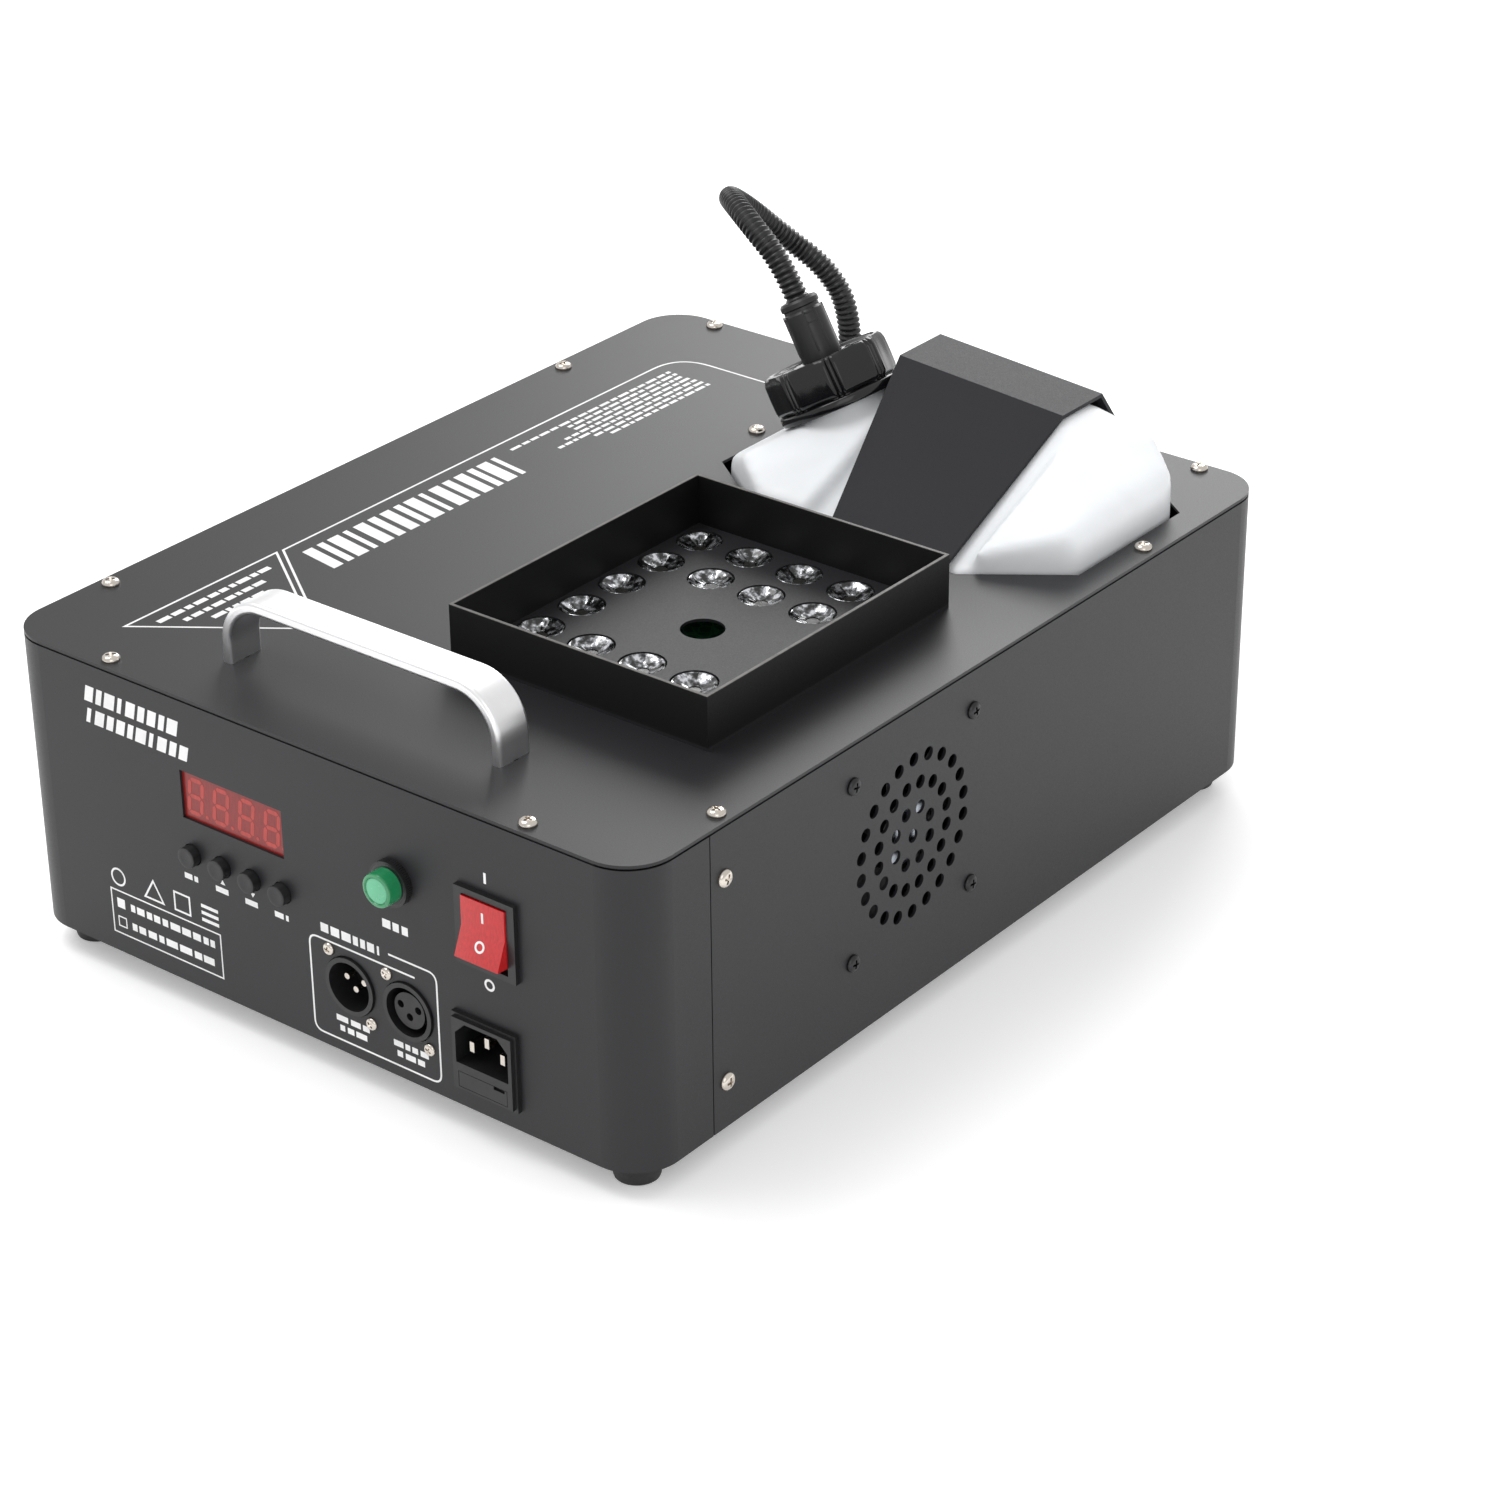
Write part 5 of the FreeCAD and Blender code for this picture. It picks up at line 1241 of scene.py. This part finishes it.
def ink_bars(bm, place, start, length, height, shares, lean, normal):
    """A row of leaning bars of different widths, in place of lettering."""
    x = start[0]
    for width, gap in shares:
        corners = [(x, start[1]), (x + width, start[1])]
        corners += [(x + width + lean, start[1] + height), (x + lean, start[1] + height)]
        ink_patch(bm, [place(a, b) for a, b in corners], normal)
        x += width + gap
        if x > start[0] + length:
            break


def micro_row(bm, place, start, end, height, seed, normal, along):
    """A row of short dashes of uneven length, in place of small print."""
    draw = random.Random(seed)
    position = start[along]
    other = start[1 - along]
    while position < end:
        length = draw.uniform(2.2, 6.5)
        length = min(length, end - position)
        if length < 0.8:
            break
        a, b = position, position + length
        corners = [(a, other), (b, other), (b, other + height), (a, other + height)]
        if along == 1:
            corners = [(v, u) for u, v in corners]
        ink_patch(bm, [place(*corner) for corner in corners], normal)
        position = b + draw.uniform(0.9, 1.4)


def print_top():
    """The top plate's border, warning triangle, title bars and small print."""

    def build(bm):
        border = [on_plate(36.4, 109), on_plate(36.6, 346), on_plate(100, 346)]
        ink_line(bm, [on_plate(93, 69.4)] + rounded(border, 17 * MM, 10), 0.95 * MM)
        triangle = [on_plate(35.6, 27.2), on_plate(35.9, 105.9), on_plate(91.4, 67.4)]
        ink_line(bm, triangle, 0.95 * MM, closed=True)
        bars = [(5.2, 2.6), (3.4, 2.2), (6.0, 2.6), (2.4, 3.4), (5.6, 2.4), (4.2, 2.6)] * 4
        x, far = 43.4, 221.0
        y = 109.0
        for width, gap in bars:
            if y + width > far:
                break
            outline = [
                on_plate(x, y + 3),
                on_plate(x + 19.5, y),
                on_plate(x + 19.5, y + width),
                on_plate(x, y + width + 3),
            ]
            extruded(bm, outline, UP * INK)
            y += width + gap
        rows = [(43.2, 231, 331), (46.7, 262, 331), (50.2, 262, 331), (53.7, 252, 331)]
        rows += [(57.2, 244, 331), (60.7, 262, 331), (64.2, 268, 331)]
        for seed, (x, start, end) in enumerate(rows):
            micro_row(bm, on_plate, (x, start), end, 1.7, seed, UP, 1)
        for seed, (x, start, end) in enumerate([(41.6, 37, 95), (48.2, 44, 87), (54.8, 52, 79)]):
            micro_row(bm, on_plate, (x, start), end, 2.6, seed + 20, UP, 1)

    mesh = mesh_of("top_print", build)
    new_piece("top_printing", mesh, white_ink, "root", ())


print_top()


def panel_ring(bm, x, z, radius, width):
    points = [
        on_panel(x + radius * math.cos(a), z + radius * math.sin(a))
        for a in (math.tau * k / 28 for k in range(28))
    ]
    ink_line(bm, points, width * MM, closed=True, normal=OUT)


def panel_shape(bm, corners, width=None):
    outline = [on_panel(x, z) for x, z in corners]
    if width:
        ink_line(bm, outline, width * MM, closed=True, normal=OUT)
        return
    ink_patch(bm, outline, OUT)


def print_panel():
    """The control panel's lines, signs and title bars."""

    def build(bm):
        signal = [(186.3, 49.6), (208.7, 49.6), (208.7, 4.7)]
        signal += [(148, 4.7), (148, 44.4), (198.4, 44.4)]
        ink_line(bm, rounded([on_panel(*p) for p in signal], 4 * MM), 0.75 * MM, normal=OUT)
        rating = [(45.6, 8.2), (102.2, 8.2), (102.2, 26.6), (45.6, 26.6)]
        panel_shape(bm, rating, 0.6)
        panel_shape(bm, [(48.4, 19.4), (52.4, 19.4), (52.4, 23.4), (48.4, 23.4)])
        panel_shape(bm, [(48.4, 11.4), (52.4, 11.4), (52.4, 15.4), (48.4, 15.4)], 0.5)
        for seed, z in ((31, 19.8), (32, 11.8)):
            micro_row(bm, on_panel, (55.5, z), 99, 3.0, seed, OUT, 0)
        panel_ring(bm, 50.2, 32.6, 3.4, 0.8)
        panel_shape(bm, [(64, 29.4), (73.6, 29.4), (68.8, 37.4)], 0.8)
        panel_shape(bm, [(79.6, 29.4), (87.4, 29.4), (87.4, 37), (79.6, 37)], 0.8)
        for k in range(3):
            low, high = 29.6 + 2.9 * k, 31 + 2.9 * k
            panel_shape(bm, [(93.4, low), (102, low), (102, high), (93.4, high)])
        title = [(4.2, 1.5), (2.8, 1.4), (5.2, 1.6), (2.0, 2.2), (4.6, 1.5), (3.4, 1.5)] * 2
        ink_bars(bm, on_panel, (41, 103.4), 46, 6.4, title, 1.4, OUT)
        ink_bars(bm, on_panel, (41, 94.6), 50, 6.0, title[3:] + title[:3], 1.4, OUT)
        for x in (88.6, 104.4, 119.2, 133.8):
            micro_row(bm, on_panel, (x - 2.4, 45.2), x + 4.4, 2.3, int(x), OUT, 0)
        panel_shape(bm, [(104.6, 49.0), (107.0, 49.0), (105.8, 50.9)])
        panel_shape(bm, [(119.6, 50.9), (122.0, 50.9), (120.8, 49.0)])
        micro_row(bm, on_panel, (184.4, 60.2), 196.4, 3.4, 41, OUT, 0)
        panel_shape(bm, [(233.0, 94.6), (234.1, 94.6), (234.1, 98.8), (233.0, 98.8)])
        panel_ring(bm, 233.6, 54.6, 1.9, 0.9)
        for x in (167, 194.6):
            micro_row(bm, on_panel, (x - 8, 12.6), x + 8.5, 2.4, int(x) + 3, OUT, 0)
            micro_row(bm, on_panel, (x - 6.5, 8.6), x + 6.5, 2.4, int(x) + 9, OUT, 0)
        micro_row(bm, on_panel, (154, 47.4), 182, 3.6, 47, OUT, 0)

    mesh = mesh_of("panel_print", build)
    new_piece("panel_printing", mesh, white_ink, "root", ())


print_panel()


# ---- floor and light


def make_studio():
    """A pale floor, a bright surround and three soft lamps."""
    floor = bpy.data.meshes.new("floor")
    reach = 6.0
    floor.from_pydata(
        [(-reach, -reach, 0), (reach, -reach, 0), (reach, reach, 0), (-reach, reach, 0)],
        [],
        [(0, 1, 2, 3)],
    )
    paper = Finish("studio_paper", (0.96, 0.96, 0.96), 0.9)
    paper.shader.inputs["Emission Color"].default_value = (1, 1, 1, 1)
    paper.shader.inputs["Emission Strength"].default_value = 0.25
    paper.mottle(paper.noise(0.4, 2), 0.01)
    floor.materials.append(paper.material)
    add("studio_floor", floor)
    world = bpy.data.worlds.new("studio")
    world.use_nodes = True
    world.node_tree.nodes["Background"].inputs["Color"].default_value = (1, 1, 1, 1)
    world.node_tree.nodes["Background"].inputs["Strength"].default_value = 0.8
    scene.world = world
    lamps = [
        ("key_lamp", (-1.0, -0.5, 2.2), 20, 1.4),
        ("fill_lamp", (1.6, -1.6, 1.3), 6, 1.4),
        ("rear_lamp", (-0.9, 1.9, 1.3), 24, 1.2),
    ]
    for name, place, power, width in lamps:
        lamp = bpy.data.lights.new(name, "AREA")
        lamp.energy = power
        lamp.size = width
        item = add(name, lamp)
        item.location = place
        aim = Vector((0, 0, 0.08)) - Vector(place)
        item.rotation_euler = aim.to_track_quat("-Z", "Y").to_euler()
    scene.view_settings.view_transform = "Standard"


make_studio()
